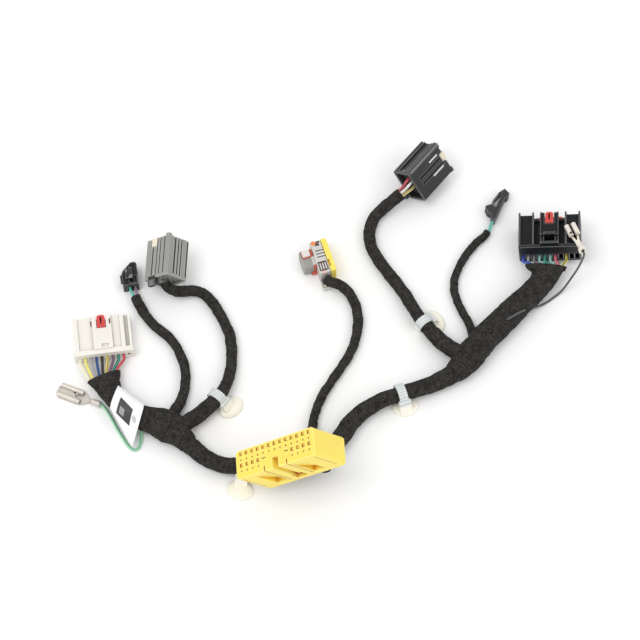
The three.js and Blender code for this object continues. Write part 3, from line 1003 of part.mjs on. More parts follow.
// Tape, wound outwards from the joints
const leftJoint = swollen(LEFT_JOINT);
const mainJoint = joined(swollen(MAIN_JOINT), swollen(MAIN_LEG));
const rightJoint = swollen(RIGHT_JOINT);
const addTape = (name, stations, ...neighbours) =>
  addPiece(harness, name, trimmed(loft(stations), ...neighbours), TAPE, 0.9);
addTape('left_joint', LEFT_JOINT);
addTape('left_trunk', LEFT_TRUNK, leftJoint, mainJoint);
addTape('right_trunk', RIGHT_TRUNK, mainJoint, rightJoint);
addTape('right_joint', RIGHT_JOINT);
addPiece(harness, 'main_joint', joined(loft(MAIN_JOINT), loft(MAIN_LEG)), TAPE, 0.9);
addTape('small_branch', SMALL_BRANCH, leftJoint);
addTape('grey_branch', GREY_BRANCH, leftJoint, swollen(SMALL_BRANCH));
addTape('squib_branch', SQUIB_BRANCH, mainJoint);
addTape('dark_branch', DARK_BRANCH, rightJoint);
addTape('oneway_branch', ONEWAY_BRANCH, rightJoint, swollen(DARK_BRANCH));

addPiece(harness, 'green_wire', trimmed(wireAlong(GREEN_WIRE), leftJoint), 0x8fc9a4, 0.5);
addPiece(harness, 'thin_wire', trimmed(wireAlong(THIN_WIRE, THIN_WIRE_RADIUS), rightJoint), 0x5c5c5e, 0.5);

export default harness;
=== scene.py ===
"""Looks of the wiring harness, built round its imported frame. Routes are in millimetres."""

import math

import bmesh
import bpy
import numpy as np
from mathutils import Matrix, Vector, noise


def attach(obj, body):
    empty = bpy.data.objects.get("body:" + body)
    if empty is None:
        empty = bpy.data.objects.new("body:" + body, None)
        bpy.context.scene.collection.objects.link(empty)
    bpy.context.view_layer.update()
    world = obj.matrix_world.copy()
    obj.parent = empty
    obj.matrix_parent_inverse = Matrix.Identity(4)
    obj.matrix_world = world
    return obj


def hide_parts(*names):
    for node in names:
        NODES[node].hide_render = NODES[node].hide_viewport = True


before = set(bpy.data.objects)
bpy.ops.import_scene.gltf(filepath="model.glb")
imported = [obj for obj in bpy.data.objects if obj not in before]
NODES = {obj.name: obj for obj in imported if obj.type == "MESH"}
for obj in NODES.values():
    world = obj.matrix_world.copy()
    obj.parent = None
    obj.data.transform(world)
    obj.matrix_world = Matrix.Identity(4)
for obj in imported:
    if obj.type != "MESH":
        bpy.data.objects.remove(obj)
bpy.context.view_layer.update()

MM = 0.001
MIDDLE = Vector((1.77, -1.915, 0.06))  # the layout's middle, which is the frame's origin
ROOT = "harness"

# Camera: the photograph looks down from the front, from far enough away to be nearly flat
ELEVATION = math.radians(62)
DISTANCE = 1.0
LENS = 120
SENSOR = 36

# Stage: the light of the world, the floor, and each lamp's name, place, size and power, in metres and watts
WORLD_LIGHT = 0.85
FLOOR = (252, 252, 252)
FLOOR_HALF = 3.0
FLOOR_DROP = 0.00002
LAMPS = [
    ("Key", (-0.5, -0.3, 1.2), 0.8, 4.5),
    ("Fill", (0.8, -0.5, 0.9), 0.9, 2),
]

# Where the connectors lie: the foot of the wire end, the way the mating end points, and the top
WHITE_AT = {"at": [-99.6, -21.3, 0.55], "mating": [-0.134, 0.991, 0], "top": [0, 0, 1]}
BLACK_AT = {"at": [109.3, 29.9, 3.5], "mating": [0.059, 0.996, -0.068], "top": [-0.144, 0.076, 0.987]}
YELLOW_AT = {"at": [-6.7, -77.5, 24.1], "mating": [-0.628, -0.131, 0.767], "top": [0.074, -0.991, -0.109]}
DARK_AT = {"at": [39.2, 70.0, 7.1], "mating": [0.635, 0.771, 0.045], "top": [0.598, -0.527, 0.605]}
SMALL_AT = {"at": [-88.7, 15.4, 0.1], "mating": [-0.16, 0.987, 0], "top": [0, 0, 1]}
ONEWAY_AT = {"at": [82.6, 51.9, 2.7], "mating": [0.393, 0.919, 0], "top": [-0.919, 0.393, 0]}
SQUIB_AT = {"at": [6.3, 26.5, 0.1], "mating": [-0.957, -0.29, 0], "top": [0, 0, 1]}
BLADE_AT = {"at": [-100.8, -44.7, 0.15], "mating": [-0.925, 0.381, 0], "top": [0, 0, 1]}

# The double-barrel terminal on the black connector: its crimp, its tip and its height there
BARREL_CRIMP = (15.7, -4.6)
BARREL_TIP = (9.6, 10.6)
BARREL_HEIGHT = 14.2

# Routes of the tape: x, y, z, width and height
LEFT_JOINT = [
    (-99.3, -31.9, 4.2, 16.2, 6.0), (-97.6, -36.0, 4.5, 12.2, 7.4), (-94.6, -41.6, 5.0, 10.0, 9.0),
    (-90.0, -47.2, 5.1, 9.8, 9.6), (-84.8, -51.2, 5.1, 10.4, 9.6), (-79.0, -53.6, 5.1, 11.6, 9.6),
    (-72.6, -55.6, 5.1, 14.6, 9.8), (-67.2, -58.6, 5.1, 15.2, 9.8), (-62.6, -62.8, 5.0, 10.6, 9.4),
    (-59.6, -65.8, 4.8, 9.0, 9.0),
]
LEFT_TRUNK = [
    (-59.35, -66.05, 4.4, 8.2, 8.2), (-55.6, -69.4, 4.3, 8.1, 8.0), (-51.4, -72.8, 4.2, 7.6, 7.6),
    (-45.8, -75.6, 4.5, 7.4, 7.4), (-38.7, -77.0, 5.0, 7.6, 7.4), (-31.0, -77.8, 5.2, 7.6, 7.4),
    (-22.0, -77.6, 4.8, 7.6, 7.4), (-12.0, -75.4, 4.6, 7.6, 7.6),
]
MAIN_JOINT = [
    (-11.7, -75.3, 4.8, 8.8, 8.6), (-6.6, -73.7, 5.0, 10.2, 9.2), (-1.4, -71.9, 5.0, 10.8, 9.4),
    (3.2, -69.2, 5.0, 9.8, 9.2), (6.9, -66.2, 4.7, 8.8, 8.8),
]
RIGHT_TRUNK = [
    (7.1, -66.0, 4.4, 8.2, 8.0), (10.2, -61.4, 4.4, 8.3, 8.0), (13.9, -55.4, 4.3, 8.1, 7.8),
    (19.5, -49.6, 4.3, 7.8, 7.6), (26.9, -45.0, 5.0, 7.2, 7.2), (34.3, -42.3, 5.9, 7.1, 7.1),
    (41.8, -39.6, 5.6, 7.3, 7.2), (50.4, -36.2, 4.5, 7.8, 7.6), (57.0, -32.9, 4.5, 8.5, 8.2),
    (61.2, -30.3, 4.7, 9.1, 8.6),
]
RIGHT_JOINT = [
    (61.5, -30.1, 5.0, 10.0, 9.2), (65.6, -26.4, 5.3, 12.2, 10.0), (70.2, -20.8, 5.8, 13.6, 11.0),
    (76.4, -12.8, 6.1, 13.0, 11.4), (84.8, -4.0, 6.1, 12.8, 11.4), (92.4, 4.4, 6.0, 12.0, 11.2),
    (98.9, 10.8, 6.0, 11.4, 11.0), (103.8, 16.4, 6.1, 11.3, 10.0), (106.3, 21.4, 6.6, 13.4, 8.4),
    (106.6, 25.0, 6.9, 19.8, 6.8),
]
MAIN_LEG = [
    (-1.8, -80.2, 16.4, 15.4, 7.2), (-1.2, -79.2, 14.0, 12.4, 7.2), (-0.8, -77.6, 11.6, 9.6, 7.0),
    (-0.9, -75.4, 9.2, 8.4, 6.8), (-1.2, -73.2, 6.8, 7.6, 6.2),
]
SMALL_BRANCH = [
    (-86.6, 11.0, 2.8, 4.6, 4.4), (-85.2, 7.6, 2.5, 4.7, 4.6), (-82.8, 3.2, 2.5, 4.7, 4.6),
    (-79.8, -1.4, 2.5, 4.7, 4.6), (-76.0, -5.5, 2.5, 4.7, 4.6), (-71.6, -9.2, 2.5, 4.7, 4.6),
    (-68.1, -13.2, 2.5, 4.6, 4.6), (-65.6, -17.6, 2.5, 4.6, 4.6), (-63.7, -22.2, 2.5, 4.6, 4.6),
    (-62.3, -27.2, 2.5, 4.6, 4.6), (-61.9, -32.6, 2.5, 4.6, 4.6), (-62.3, -38.0, 2.6, 4.6, 4.6),
    (-63.6, -43.2, 3.0, 4.7, 4.7), (-65.8, -48.2, 3.8, 5.2, 5.2), (-68.4, -53.4, 4.8, 5.6, 5.6),
]
GREY_BRANCH = [
    (-72.4, 15.1, 9.5, 4.6, 4.6), (-72.0, 13.8, 8.7, 4.8, 4.7), (-70.2, 12.4, 7.3, 5.0, 4.9),
    (-67.0, 12.2, 5.7, 5.2, 5.0), (-62.8, 13.2, 4.0, 5.2, 5.1), (-58.4, 13.9, 3.0, 5.2, 5.1),
    (-54.4, 12.2, 2.8, 5.2, 5.1), (-51.4, 9.2, 2.7, 5.2, 5.1), (-48.8, 5.2, 2.7, 5.2, 5.1),
    (-46.4, 0.7, 2.7, 5.1, 5.1), (-44.0, -4.2, 2.7, 5.1, 5.1), (-42.1, -9.0, 2.7, 5.1, 5.1),
    (-41.2, -14.2, 2.7, 5.1, 5.1), (-40.9, -19.6, 2.7, 5.1, 5.1), (-41.0, -25.2, 3.0, 5.1, 5.1),
    (-41.7, -30.6, 3.7, 5.1, 5.1), (-43.0, -35.6, 4.4, 5.2, 5.2), (-45.0, -40.0, 4.8, 5.8, 5.6),
    (-48.2, -44.5, 5.0, 6.8, 6.4), (-52.4, -48.8, 4.9, 7.2, 6.8), (-57.2, -53.0, 4.8, 7.4, 7.0),
    (-62.4, -56.6, 4.9, 7.4, 7.0),
]
SQUIB_BRANCH = [
    (2.7, 18.7, 6.5, 4.6, 4.4), (4.6, 17.1, 6.2, 4.9, 4.7), (8.2, 16.4, 5.2, 5.1, 4.9),
    (11.9, 14.8, 3.7, 5.0, 4.8), (14.6, 11.5, 2.7, 4.8, 4.6), (16.5, 7.4, 2.4, 4.7, 4.6),
    (17.5, 2.8, 2.4, 4.7, 4.6), (17.8, -2.2, 2.4, 4.7, 4.6), (17.3, -7.4, 2.4, 4.6, 4.5),
    (15.9, -13.6, 2.4, 4.4, 4.4), (13.9, -18.8, 2.4, 4.3, 4.3), (11.2, -23.7, 2.4, 4.2, 4.2),
    (8.3, -28.4, 2.4, 4.1, 4.1), (5.4, -33.1, 2.4, 4.1, 4.1), (2.5, -37.9, 2.4, 4.1, 4.1),
    (0.1, -42.7, 2.4, 4.1, 4.1), (-1.6, -47.4, 2.4, 4.1, 4.1), (-2.8, -52.2, 2.5, 4.1, 4.1),
    (-3.5, -57.2, 2.9, 4.3, 4.3), (-3.8, -62.4, 3.5, 5.4, 5.0), (-3.6, -67.4, 4.1, 6.2, 5.6),
    (-3.0, -72.4, 4.6, 6.4, 5.8),
]
DARK_BRANCH = [
    (38.9, 64.2, 8.0, 6.0, 5.8), (36.4, 62.6, 7.0, 6.0, 5.8), (33.2, 60.4, 5.6, 5.9, 5.8),
    (29.4, 57.4, 4.2, 5.8, 5.7), (26.2, 54.0, 3.2, 5.7, 5.7), (24.2, 49.4, 3.0, 5.7, 5.7),
    (23.6, 44.2, 3.0, 5.7, 5.7), (24.1, 39.2, 3.0, 5.7, 5.7), (25.8, 34.4, 3.0, 5.7, 5.7),
    (28.3, 29.8, 3.0, 5.7, 5.7), (31.1, 25.3, 3.0, 5.8, 5.7), (34.1, 20.9, 3.0, 5.9, 5.8),
    (37.1, 16.3, 3.1, 5.9, 5.8), (39.7, 11.9, 3.5, 5.9, 5.8), (41.8, 7.6, 4.1, 5.9, 5.8),
    (43.9, 3.2, 4.8, 5.9, 5.8), (46.5, -1.6, 5.2, 6.0, 5.8), (49.4, -5.9, 5.2, 6.2, 6.0),
    (52.6, -9.9, 5.1, 7.2, 6.8), (56.4, -14.0, 5.0, 7.5, 7.2), (60.6, -17.6, 5.0, 7.6, 7.4),
    (65.4, -20.6, 5.2, 7.6, 7.4),
]
ONEWAY_BRANCH = [
    (80.2, 46.4, 2.4, 3.4, 3.4), (78.4, 44.0, 2.2, 3.8, 3.7), (75.6, 41.6, 2.1, 3.8, 3.8),
    (72.1, 37.6, 2.1, 3.8, 3.8), (69.3, 33.6, 2.1, 3.8, 3.8), (66.8, 29.2, 2.1, 3.8, 3.8),
    (64.7, 24.4, 2.1, 3.8, 3.8), (63.4, 19.6, 2.1, 3.8, 3.8), (63.2, 14.6, 2.1, 3.8, 3.8),
    (64.2, 9.9, 2.1, 3.8, 3.8), (65.8, 5.4, 2.1, 3.8, 3.8), (67.6, 1.2, 2.2, 3.8, 3.8),
    (69.4, -3.0, 2.6, 4.0, 4.0), (70.8, -7.4, 3.4, 4.4, 4.4), (71.6, -12.6, 4.6, 4.6, 4.6),
    (72.0, -17.6, 5.6, 4.6, 4.6),
]

# Routes of the single wires
GREEN_WIRE = [
    (-101.2, -44.5, 1.6), (-99.6, -45.2, 1.4), (-97.6, -47.6, 1.0), (-95.4, -51.2, 0.9),
    (-93.0, -55.6, 0.9), (-90.4, -60.0, 0.9), (-88.0, -63.8, 0.9), (-86.0, -66.3, 0.9),
    (-84.2, -67.3, 0.9), (-82.6, -66.6, 0.9), (-81.6, -64.4, 1.0), (-81.2, -61.6, 1.4),
    (-81.2, -58.8, 2.6), (-81.0, -56.2, 4.2),
]
THIN_WIRE = [
    (122.0, 27.2, 19.95), (122.5, 25.65, 20.15), (123.0, 24.0, 20.1), (122.0, 21.6, 18.0),
    (120.4, 19.9, 13.4), (118.4, 18.6, 8.2), (115.6, 16.2, 3.4), (113.0, 13.9, 1.2), (110.2, 11.7, 0.7),
    (107.2, 9.3, 0.7), (104.6, 7.5, 1.1), (101.6, 5.6, 2.6), (97.8, 2.8, 6.0), (94.0, -0.6, 10.2),
    (90.4, -3.6, 12.0), (86.4, -6.2, 12.0),
]

# Taped cords: route, the laps' pitch, diameter, and whether the cord leaves from the route's last end
CORDS = {
    "left_trunk": (LEFT_TRUNK, 9.5, 7.8, False), "right_trunk": (RIGHT_TRUNK, 9.5, 7.9, False),
    "small_branch": (SMALL_BRANCH, 7.5, 4.7, True), "grey_branch": (GREY_BRANCH, 8.0, 5.4, True),
    "squib_branch": (SQUIB_BRANCH, 7.5, 4.5, True), "dark_branch": (DARK_BRANCH, 8.5, 6.0, True),
    "oneway_branch": (ONEWAY_BRANCH, 7.0, 3.9, True),
}
RUN_ON = 2.4  # how far a trunk's tape goes on into the joints it meets

# Open ends of the tape: how deep each is, how much narrower than the tape its lip and its bottom are, and
# how dark the painted shade inside it is
BRANCH_MOUTH = 1.2
JOINT_MOUTH = 1.6
LEG_MOUTH = 1.4
LIP_INSET = 1.1
MOUTH_INSET = 1.3
MOUTH_SHADE = 0.6

# Joints: route, and the depth of the mouth at its first and its last end
JOINTS = {"left_joint": (LEFT_JOINT, (JOINT_MOUTH, 0.0)), "right_joint": (RIGHT_JOINT, (0.0, JOINT_MOUTH))}

# Sides round each kind of tube, and the step along it
BRANCH_SIDES = 32
JOINT_SIDES = 44
MAIN_SIDES = 40
LEG_SIDES = 36
WIRE_SIDES = 12
TUBE_STEP = 0.5
LOOSE_STEP = 0.4

# Tie clips: the middle of the band, and the tape's direction there
CLIPS = {
    "clip_left": ((-47.0, -42.9, 4.95), (-0.58, -0.81)), "clip_main": ((-34.6, -77.5, 5.15), (1, -0.11)),
    "clip_centre": ((37.0, -41.35, 5.8), (0.94, 0.34)), "clip_right": ((48.4, -4.6, 5.2), (0.6, -0.8)),
}
FOOT_TOP = 4.2  # where the foot's cream ends and the band's cooler white begins
BAND_FOOT = 6.0
TOOTH_PITCH = 1.15

# The printed field on the label: its near corner, the end of its upper edge, and the end of its left edge
PRINT_FIELD = [(-90.33, -45.72, 11.53), (-84.61, -52.05, 11.64), (-92.5, -52.59, 9.08)]
PRINT_BLOCK = (0.16, 0.5, 0.42, 0.84)  # the sides of the lighter block, as shares of the field
PRINT_OVAL = (1.22, 0.42, 0.16, 0.2)  # middle and half sizes of the oval, as shares of the field

# Ways of the connectors, as in the part
WIRE_PITCH = 2.54
WIRE_HEIGHT = 3.2
WHITE_WAYS = 10
WHITE_WIRED = 9
BLACK_WAYS = 11
BLACK_WIRED = (0, 1, 2, 3, 4, 5, 6, 8)
DARK_WIRES_ACROSS = (-4.4, -1.9, 0.7)
DARK_WIRE_HEIGHT = 8.0
SMALL_WIRE_MIDDLE = 0.6
SMALL_WIRE_SPREAD = 1.3
SMALL_WIRE_HEIGHT = 2.6
YELLOW_WAYS = 13
YELLOW_GROUPED = 4  # the second row has this many ways at either end
YELLOW_PITCH = 3.2
YELLOW_ROWS = (1.7, 6.9)
# Sheets of a darker yellow plastic close the yellow ways just inside: painted shade and glow of the open ways
WAY_SHADE_SHORT = 0.4  # how far such a sheet reaches to the left of and above the middle of its way
WAY_SHADE_LONG = 0.84  # and how far to the right and below
WAY_SHADE_DEPTHS = (16.0, 21.1)

# Wires
WIRE_RADIUS = 0.65
ONEWAY_RADIUS = 0.8
THIN_RADIUS = 0.5
IN_CAVITY = 2.4
LEAVE = 2.2  # how far a wire goes straight on from its cavity
UNDER_TAPE = 1.2
WHITE_SPREAD = 0.86  # how far the outer wires are from the middle of the tape's mouth, as a share
BLACK_SPREAD = 0.8
DARK_SPREAD = 0.58
SMALL_SPREAD = 0.45

# Wires' colours in sRGB: insulation and, where there is one, the stripe
WHITE_WIRES = [
    ((241, 233, 207), None), ((240, 228, 120), None), ((168, 168, 172), None), ((48, 80, 142), None),
    ((40, 38, 38), None), ((234, 220, 120), (160, 124, 70)), ((120, 88, 116), None),
    ((28, 108, 90), (70, 150, 130)), ((198, 74, 82), None),
]
BLACK_WIRES = [
    ((70, 95, 190), None), ((205, 205, 205), (90, 90, 90)), ((138, 138, 138), None),
    ((160, 205, 200), None), ((70, 158, 132), None), ((160, 205, 200), None),
    ((232, 140, 152), (190, 60, 80)), ((228, 216, 96), (90, 80, 40)),
]
DARK_WIRES = [
    ((198, 80, 92), None), ((243, 243, 239), None), ((226, 214, 140), (120, 90, 50)),
]
SMALL_WIRES = [
    ((112, 198, 182), None), ((150, 128, 154), None),
]
ONEWAY_COLOURS = ((111, 188, 176), None)
GREEN_COLOURS = ((150, 205, 170), (96, 165, 122))
THIN_COLOURS = ((84, 84, 86), None)

# Plastics: colour in sRGB, roughness, painted shade in grooves (a share of the colour, or a colour), how far
# that painted shade reaches in millimetres, the colour of the painted highlight on edges or None, glow and
# shine
PLASTICS = {
    "ivory": ((236, 232, 224), 0.42, 0.62, 3.0, (250, 247, 240), 0.2, 0.5),
    "yellow": ((253, 226, 100), 0.42, (226, 172, 40), 2.8, (255, 242, 158), 0.45, 0.5),
    # a darker copy of the yellow, for the painted shade and glow of the open yellow ways
    "way_shade_golden": ((240, 194, 72), 0.42, 0.9, 0.6, None, 0.3, 0.5),
    "grey": ((148, 148, 144), 0.5, 0.28, 1.4, (192, 192, 187), 0.0, 0.4),
    "dark": ((54, 54, 56), 0.42, 0.3, 1.4, (126, 126, 124), 0.0, 0.3),
    "black": ((25, 26, 28), 0.36, 0.2, 1.8, (124, 126, 128), 0.0, 0.2),
    "gloss_black": ((26, 25, 25), 0.2, 0.3, 1.2, (130, 128, 126), 0.0, 0.35),
    "red": ((204, 62, 56), 0.36, 0.3, 1.4, (232, 112, 100), 0.0, 0.5),
    "deep_red": ((178, 34, 28), 0.36, 0.5, 1.0, None, 0.0, 0.5),
    "cream": ((236, 226, 204), 0.45, 0.6, 1.0, None, 0.0, 0.5),
    "light_grey": ((204, 201, 197), 0.48, 0.4, 1.4, (226, 224, 220), 0.0, 0.5),
    "mid_grey": ((152, 151, 146), 0.5, 0.45, 1.2, (186, 186, 182), 0.0, 0.5),
    "orange": ((212, 98, 76), 0.42, 0.5, 1.0, None, 0.0, 0.5),
    # painted shade, for the dark inside of small openings
    "opening_shade": ((66, 54, 46), 0.5, 0.55, 1.2, None, 0.0, 0.5),
    "bone": ((224, 217, 214), 0.4, 0.55, 1.2, None, 0.0, 0.5),
    "pale": ((246, 246, 244), 0.35, 0.55, 1.2, None, 0.0, 0.5),
    # painted shade in the squib's recess
    "recess_shade": ((104, 88, 76), 0.5, 0.55, 1.2, None, 0.0, 0.5),
    "amber": ((236, 142, 84), 0.4, 0.55, 1.2, None, 0.0, 0.5),
    "rose": ((226, 178, 160), 0.4, 0.55, 1.2, None, 0.0, 0.5),
    "slate": ((128, 127, 122), 0.5, 0.55, 1.2, None, 0.0, 0.5),
}
EDGE_HIGHLIGHT_REACH = 0.8  # how wide the painted highlight on a moulding's edges is
WEAVE_PITCH = 0.62  # of the cloth tape

# Metals: the darker and the lighter colour of the sheet, and how metallic it is
METALS = {
    "blade": ((192, 185, 176), (224, 218, 208), 0.4),
    "barrel": ((220, 211, 198), (255, 250, 240), 0.5),
}
FOLD_SHADE_REACH = 1.6  # how far the painted shade reaches from a fold

# Mouldings: each node's finish, the size of its broken edges, and its body
MOULDINGS = {
    "white_housing": ("ivory", 0.2, ROOT), "white_lock": ("red", 0.15, "white_lock"),
    "black_housing": ("black", 0.16, ROOT), "black_lock": ("red", 0.15, "black_lock"),
    "yellow_housing": ("yellow", 0.2, ROOT), "yellow_lock": ("deep_red", 0.15, "yellow_lock"),
    "grey_housing": ("grey", 0.18, ROOT), "grey_retainer": ("cream", 0.1, ROOT),
    "grey_cap": ("black", 0.15, ROOT),
    "dark_housing": ("dark", 0.16, ROOT), "dark_retainer": ("cream", 0.12, ROOT),
    "small_housing": ("gloss_black", 0.18, ROOT), "oneway_housing": ("dark", 0.12, ROOT),
    "squib_housing": ("light_grey", 0.15, ROOT), "squib_block": ("mid_grey", 0.18, ROOT),
    "squib_seal": ("orange", 0.12, ROOT), "squib_cover": ("yellow", 0.2, ROOT),
    "blade_terminal": ("blade", 0.08, ROOT), "barrel_terminal": ("barrel", 0.08, ROOT),
}
CLIP_BEVEL = 0.15
WELD = 2e-6  # points nearer than this, in metres, are one
SAME_PLANE = math.radians(0.6)  # faces that lean less are one
SHARP = math.radians(28)  # edges that turn more are broken

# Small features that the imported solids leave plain, each in its connector's frame: the spans along x, y
# and z, or the middle, radius and height span of a button; then its finish
SQUIB_PARTS = {
    "squib_button": ((11.5, 6.5, 1.15, 9.0, 9.95), "amber"),
    # a darker block: painted shade in the recess beside the button
    "squib_recess": (((10.6, 12.4), (3.4, 5.2), (9.0, 9.74)), "recess_shade"),
    "squib_frame": (((5.9, 10.2), (9.32, 13.3), (7.0, 7.8)), "orange"),
    "squib_tab": (((6.4, 9.8), (9.32, 13.1), (7.6, 8.5)), "bone"),
    "squib_collar": (((1.5, 5.9), (7.7, 9.32), (0.3, 8.0)), "light_grey"),
    "squib_catch": (((0.1, 1.0), (7.9, 10.4), (0.4, 2.4)), "orange"),
    # a dark box under the bars: painted shade inside the window
    "squib_window": (((-4.0, 1.2), (3.2, 7.6), (8.6, 9.84)), "opening_shade"),
    "squib_bar_1": (((-3.3, 0.2), (3.9, 4.5), (9.0, 10.0)), "bone"),
    "squib_bar_2": (((-3.3, 0.2), (5.1, 5.7), (9.0, 10.0)), "bone"),
    "squib_bar_3": (((-3.3, 0.2), (6.3, 6.9), (9.0, 10.0)), "bone"),
    "squib_contact": ((-4.75, 5.6, 0.8, 9.0, 10.0), "rose"),
    "squib_tongue_pad": (((-9.6, -5.2), (4.3, 7.6), (3.2, 3.5)), "slate"),
    "squib_tongue_contact": ((-8.6, 6.4, 0.95, 3.2, 3.75), "cream"),
}
DARK_PARTS = {
    "dark_slot_1": (((-4.95, -4.15), (12.8, 18.6), (9.6, 11.85)), "pale"),
    "dark_slot_2": (((2.15, 2.95), (11.2, 18.7), (9.6, 11.85)), "pale"),
}
BLADE_PARTS = {
    "blade_spring": (((-1.5, 1.5), (11.6, 20.2), (0.7, 1.15)), "blade"),
    # the two dark spots are painted shade
    "blade_mark_1": ((1.3, 13.2, 0.58, 1.0, 1.9), "opening_shade"),
    "blade_mark_2": ((-0.1, 12.2, 0.42, 0.8, 1.3), "opening_shade"),
    "blade_shoulder": (((-3.3, 3.3), (5.5, 8.6), (0.1, 0.86)), "blade"),
}
BLACK_PARTS = {
    "black_sill_right": (((4.4, 7.2), (17.4, 18.85), (6.9, 8.45)), "black"),
    "black_sill_left": (((-7.2, -4.4), (17.4, 18.85), (6.9, 8.45)), "black"),
    "black_insert_right": (((4.3, 5.9), (17.6, 18.7), (8.2, 9.5)), "red"),
    "black_insert_left": (((-5.1, -4.3), (17.6, 18.7), (8.2, 9.3)), "red"),
}
BARREL_PARTS = {
    # the window and the throat are dark marks: painted shade in the barrel's openings
    "barrel_window": ((-1.45, 11.2, 0.62, 0.8, 1.34), "opening_shade"),
    "barrel_knob": ((1.6, 10.7, 0.66, 0.6, 1.55), "cream"),
    "barrel_throat": ((0.2, -0.6, 0.5, 0.8, 1.5), "opening_shade"),
}
TAPERS = {"blade_shoulder": 0.36}  # the share of its width that a block keeps at its wire end
SMALL_BEVEL = 0.08
SMALL_SHARP = 0.6  # in radians
BUTTON_SIDES = 24


def linear(srgb):
    """An sRGB colour in 0 to 255 as linear RGBA."""
    channels = [c / 255 for c in srgb]
    return [c / 12.92 if c <= 0.04045 else ((c + 0.055) / 1.055) ** 2.4 for c in channels] + [1.0]


def shade(colour, factor):
    return [min(1.0, c * factor) for c in colour[:3]] + [1.0]


def place(point):
    """A point of the layout, in millimetres, as a place in the frame."""
    return (Vector(point[:3]) - MIDDLE) * MM


# Camera, light and floor
def make_camera():
    data = bpy.data.cameras.new("Camera")
    data.lens = LENS
    data.sensor_width = SENSOR
    data.sensor_fit = "HORIZONTAL"
    data.clip_start = 0.05
    camera = bpy.data.objects.new("Camera", data)
    bpy.context.scene.collection.objects.link(camera)
    away = Vector((0, -math.cos(ELEVATION), math.sin(ELEVATION))) * DISTANCE
    camera.location = place((0, 0, 0)) + away
    camera.rotation_euler = (math.pi / 2 - ELEVATION, 0, 0)
    bpy.context.scene.camera = camera


def area_light(name, location, size, power):
    data = bpy.data.lights.new(name, "AREA")
    data.shape = "DISK"
    data.size = size
    data.energy = power
    light = bpy.data.objects.new(name, data)
    bpy.context.scene.collection.objects.link(light)
    light.location = location
    light.rotation_euler = (-Vector(location)).to_track_quat("-Z", "Y").to_euler()


def make_world():
    """Plain white light, which the camera sees at full strength beyond the floor."""
    world = bpy.data.worlds.new("World")
    bpy.context.scene.world = world
    world.use_nodes = True
    tree = world.node_tree
    background = tree.nodes["Background"]
    background.inputs["Color"].default_value = (1, 1, 1, 1)
    seen = tree.nodes.new("ShaderNodeMapRange")
    tree.links.new(tree.nodes.new("ShaderNodeLightPath").outputs["Is Camera Ray"], seen.inputs["Value"])
    seen.inputs["To Min"].default_value = WORLD_LIGHT
    seen.inputs["To Max"].default_value = 1.0
    tree.links.new(seen.outputs["Result"], background.inputs["Strength"])


def make_floor():
    mesh = bpy.data.meshes.new("floor")
    half = FLOOR_HALF
    corners = [(-half, -half, 0), (half, -half, 0), (half, half, 0), (-half, half, 0)]
    mesh.from_pydata(corners, [], [(0, 1, 2, 3)])
    floor = bpy.data.objects.new("floor", mesh)
    bpy.context.scene.collection.objects.link(floor)
    floor.location.z = -FLOOR_DROP
    mesh.materials.append(Shader("floor_sheet", FLOOR, 0.6).material)


def make_stage():
    bpy.context.scene.view_settings.view_transform = "Standard"
    make_world()
    for lamp in LAMPS:
        area_light(*lamp)
    make_floor()


# Materials
class Shader:
    """A node material with one Principled shader, and short ways to add nodes to it."""

    def __init__(self, name, colour, roughness, metallic=0.0):
        self.material = bpy.data.materials.new(name)
        self.material.use_nodes = True
        self.tree = self.material.node_tree
        self.principled = self.tree.nodes["Principled BSDF"]
        self.set("Base Color", linear(colour))
        self.set("Roughness", roughness)
        self.set("Metallic", metallic)

    def set(self, socket, value):
        self.principled.inputs[socket].default_value = value

    def node(self, kind, inputs=None, **settings):
        node = self.tree.nodes.new("ShaderNode" + kind)
        for key, value in settings.items():
            setattr(node, key, value)
        for key, value in (inputs or {}).items():
            self.feed(node.inputs[key], value)
        return node

    def feed(self, socket, value):
        if isinstance(value, bpy.types.NodeSocket):
            self.tree.links.new(value, socket)
        else:
            socket.default_value = value

    def place(self):
        return self.node("TexCoord").outputs["Object"]

    def noise(self, scale, detail=2.0, roughness=0.5):
        inputs = {"Vector": self.place(), "Scale": scale, "Detail": detail, "Roughness": roughness}
        return self.node("TexNoise", inputs).outputs["Fac"]

    def occlusion(self, reach, inside=False):
        """How open the surface is within that reach in millimetres; inside, how far from its edges."""
        settings = {"samples": 6, "inside": inside, "only_local": True}
        return self.node("AmbientOcclusion", {"Distance": reach * MM}, **settings).outputs["AO"]

    def tape_map(self):
        """The distance along a tube and the distance round it, in metres."""
        uv = self.node("UVMap", uv_map="Tape").outputs["UV"]
        split = self.node("SeparateXYZ", {"Vector": uv})
        return split.outputs["X"], split.outputs["Y"]

    def math(self, operation, *values):
        node = self.node("Math", operation=operation)
        for socket, value in zip(node.inputs, values):
            self.feed(socket, value)
        return node.outputs[0]

    def vector(self, operation, first, second):
        return self.node("VectorMath", {0: first, 1: second}, operation=operation)

    def span(self, factor, low, high, from_low=0.0, from_high=1.0):
        inputs = {"Value": factor, "From Min": from_low, "From Max": from_high, "To Min": low, "To Max": high}
        return self.node("MapRange", inputs).outputs["Result"]

    def mix(self, factor, first, second):
        node = self.node("Mix", data_type="RGBA")
        self.feed(node.inputs[0], factor)
        self.feed(node.inputs[6], first)
        self.feed(node.inputs[7], second)
        return node.outputs[2]

    def colour(self, value):
        self.feed(self.principled.inputs["Base Color"], value)

    def rough(self, value):
        self.feed(self.principled.inputs["Roughness"], value)

    def glow(self, weight, radius, scale):
        self.set("Subsurface Weight", weight)
        self.set("Subsurface Radius", radius)
        self.set("Subsurface Scale", scale)

    def bump(self, height, distance, strength):
        """One more layer of relief over the layers there are."""
        node = self.node("Bump", {"Height": height, "Distance": distance, "Strength": strength})
        normal = self.principled.inputs["Normal"]
        if normal.links:
            self.feed(node.inputs["Normal"], normal.links[0].from_socket)
        self.feed(normal, node.outputs["Normal"])


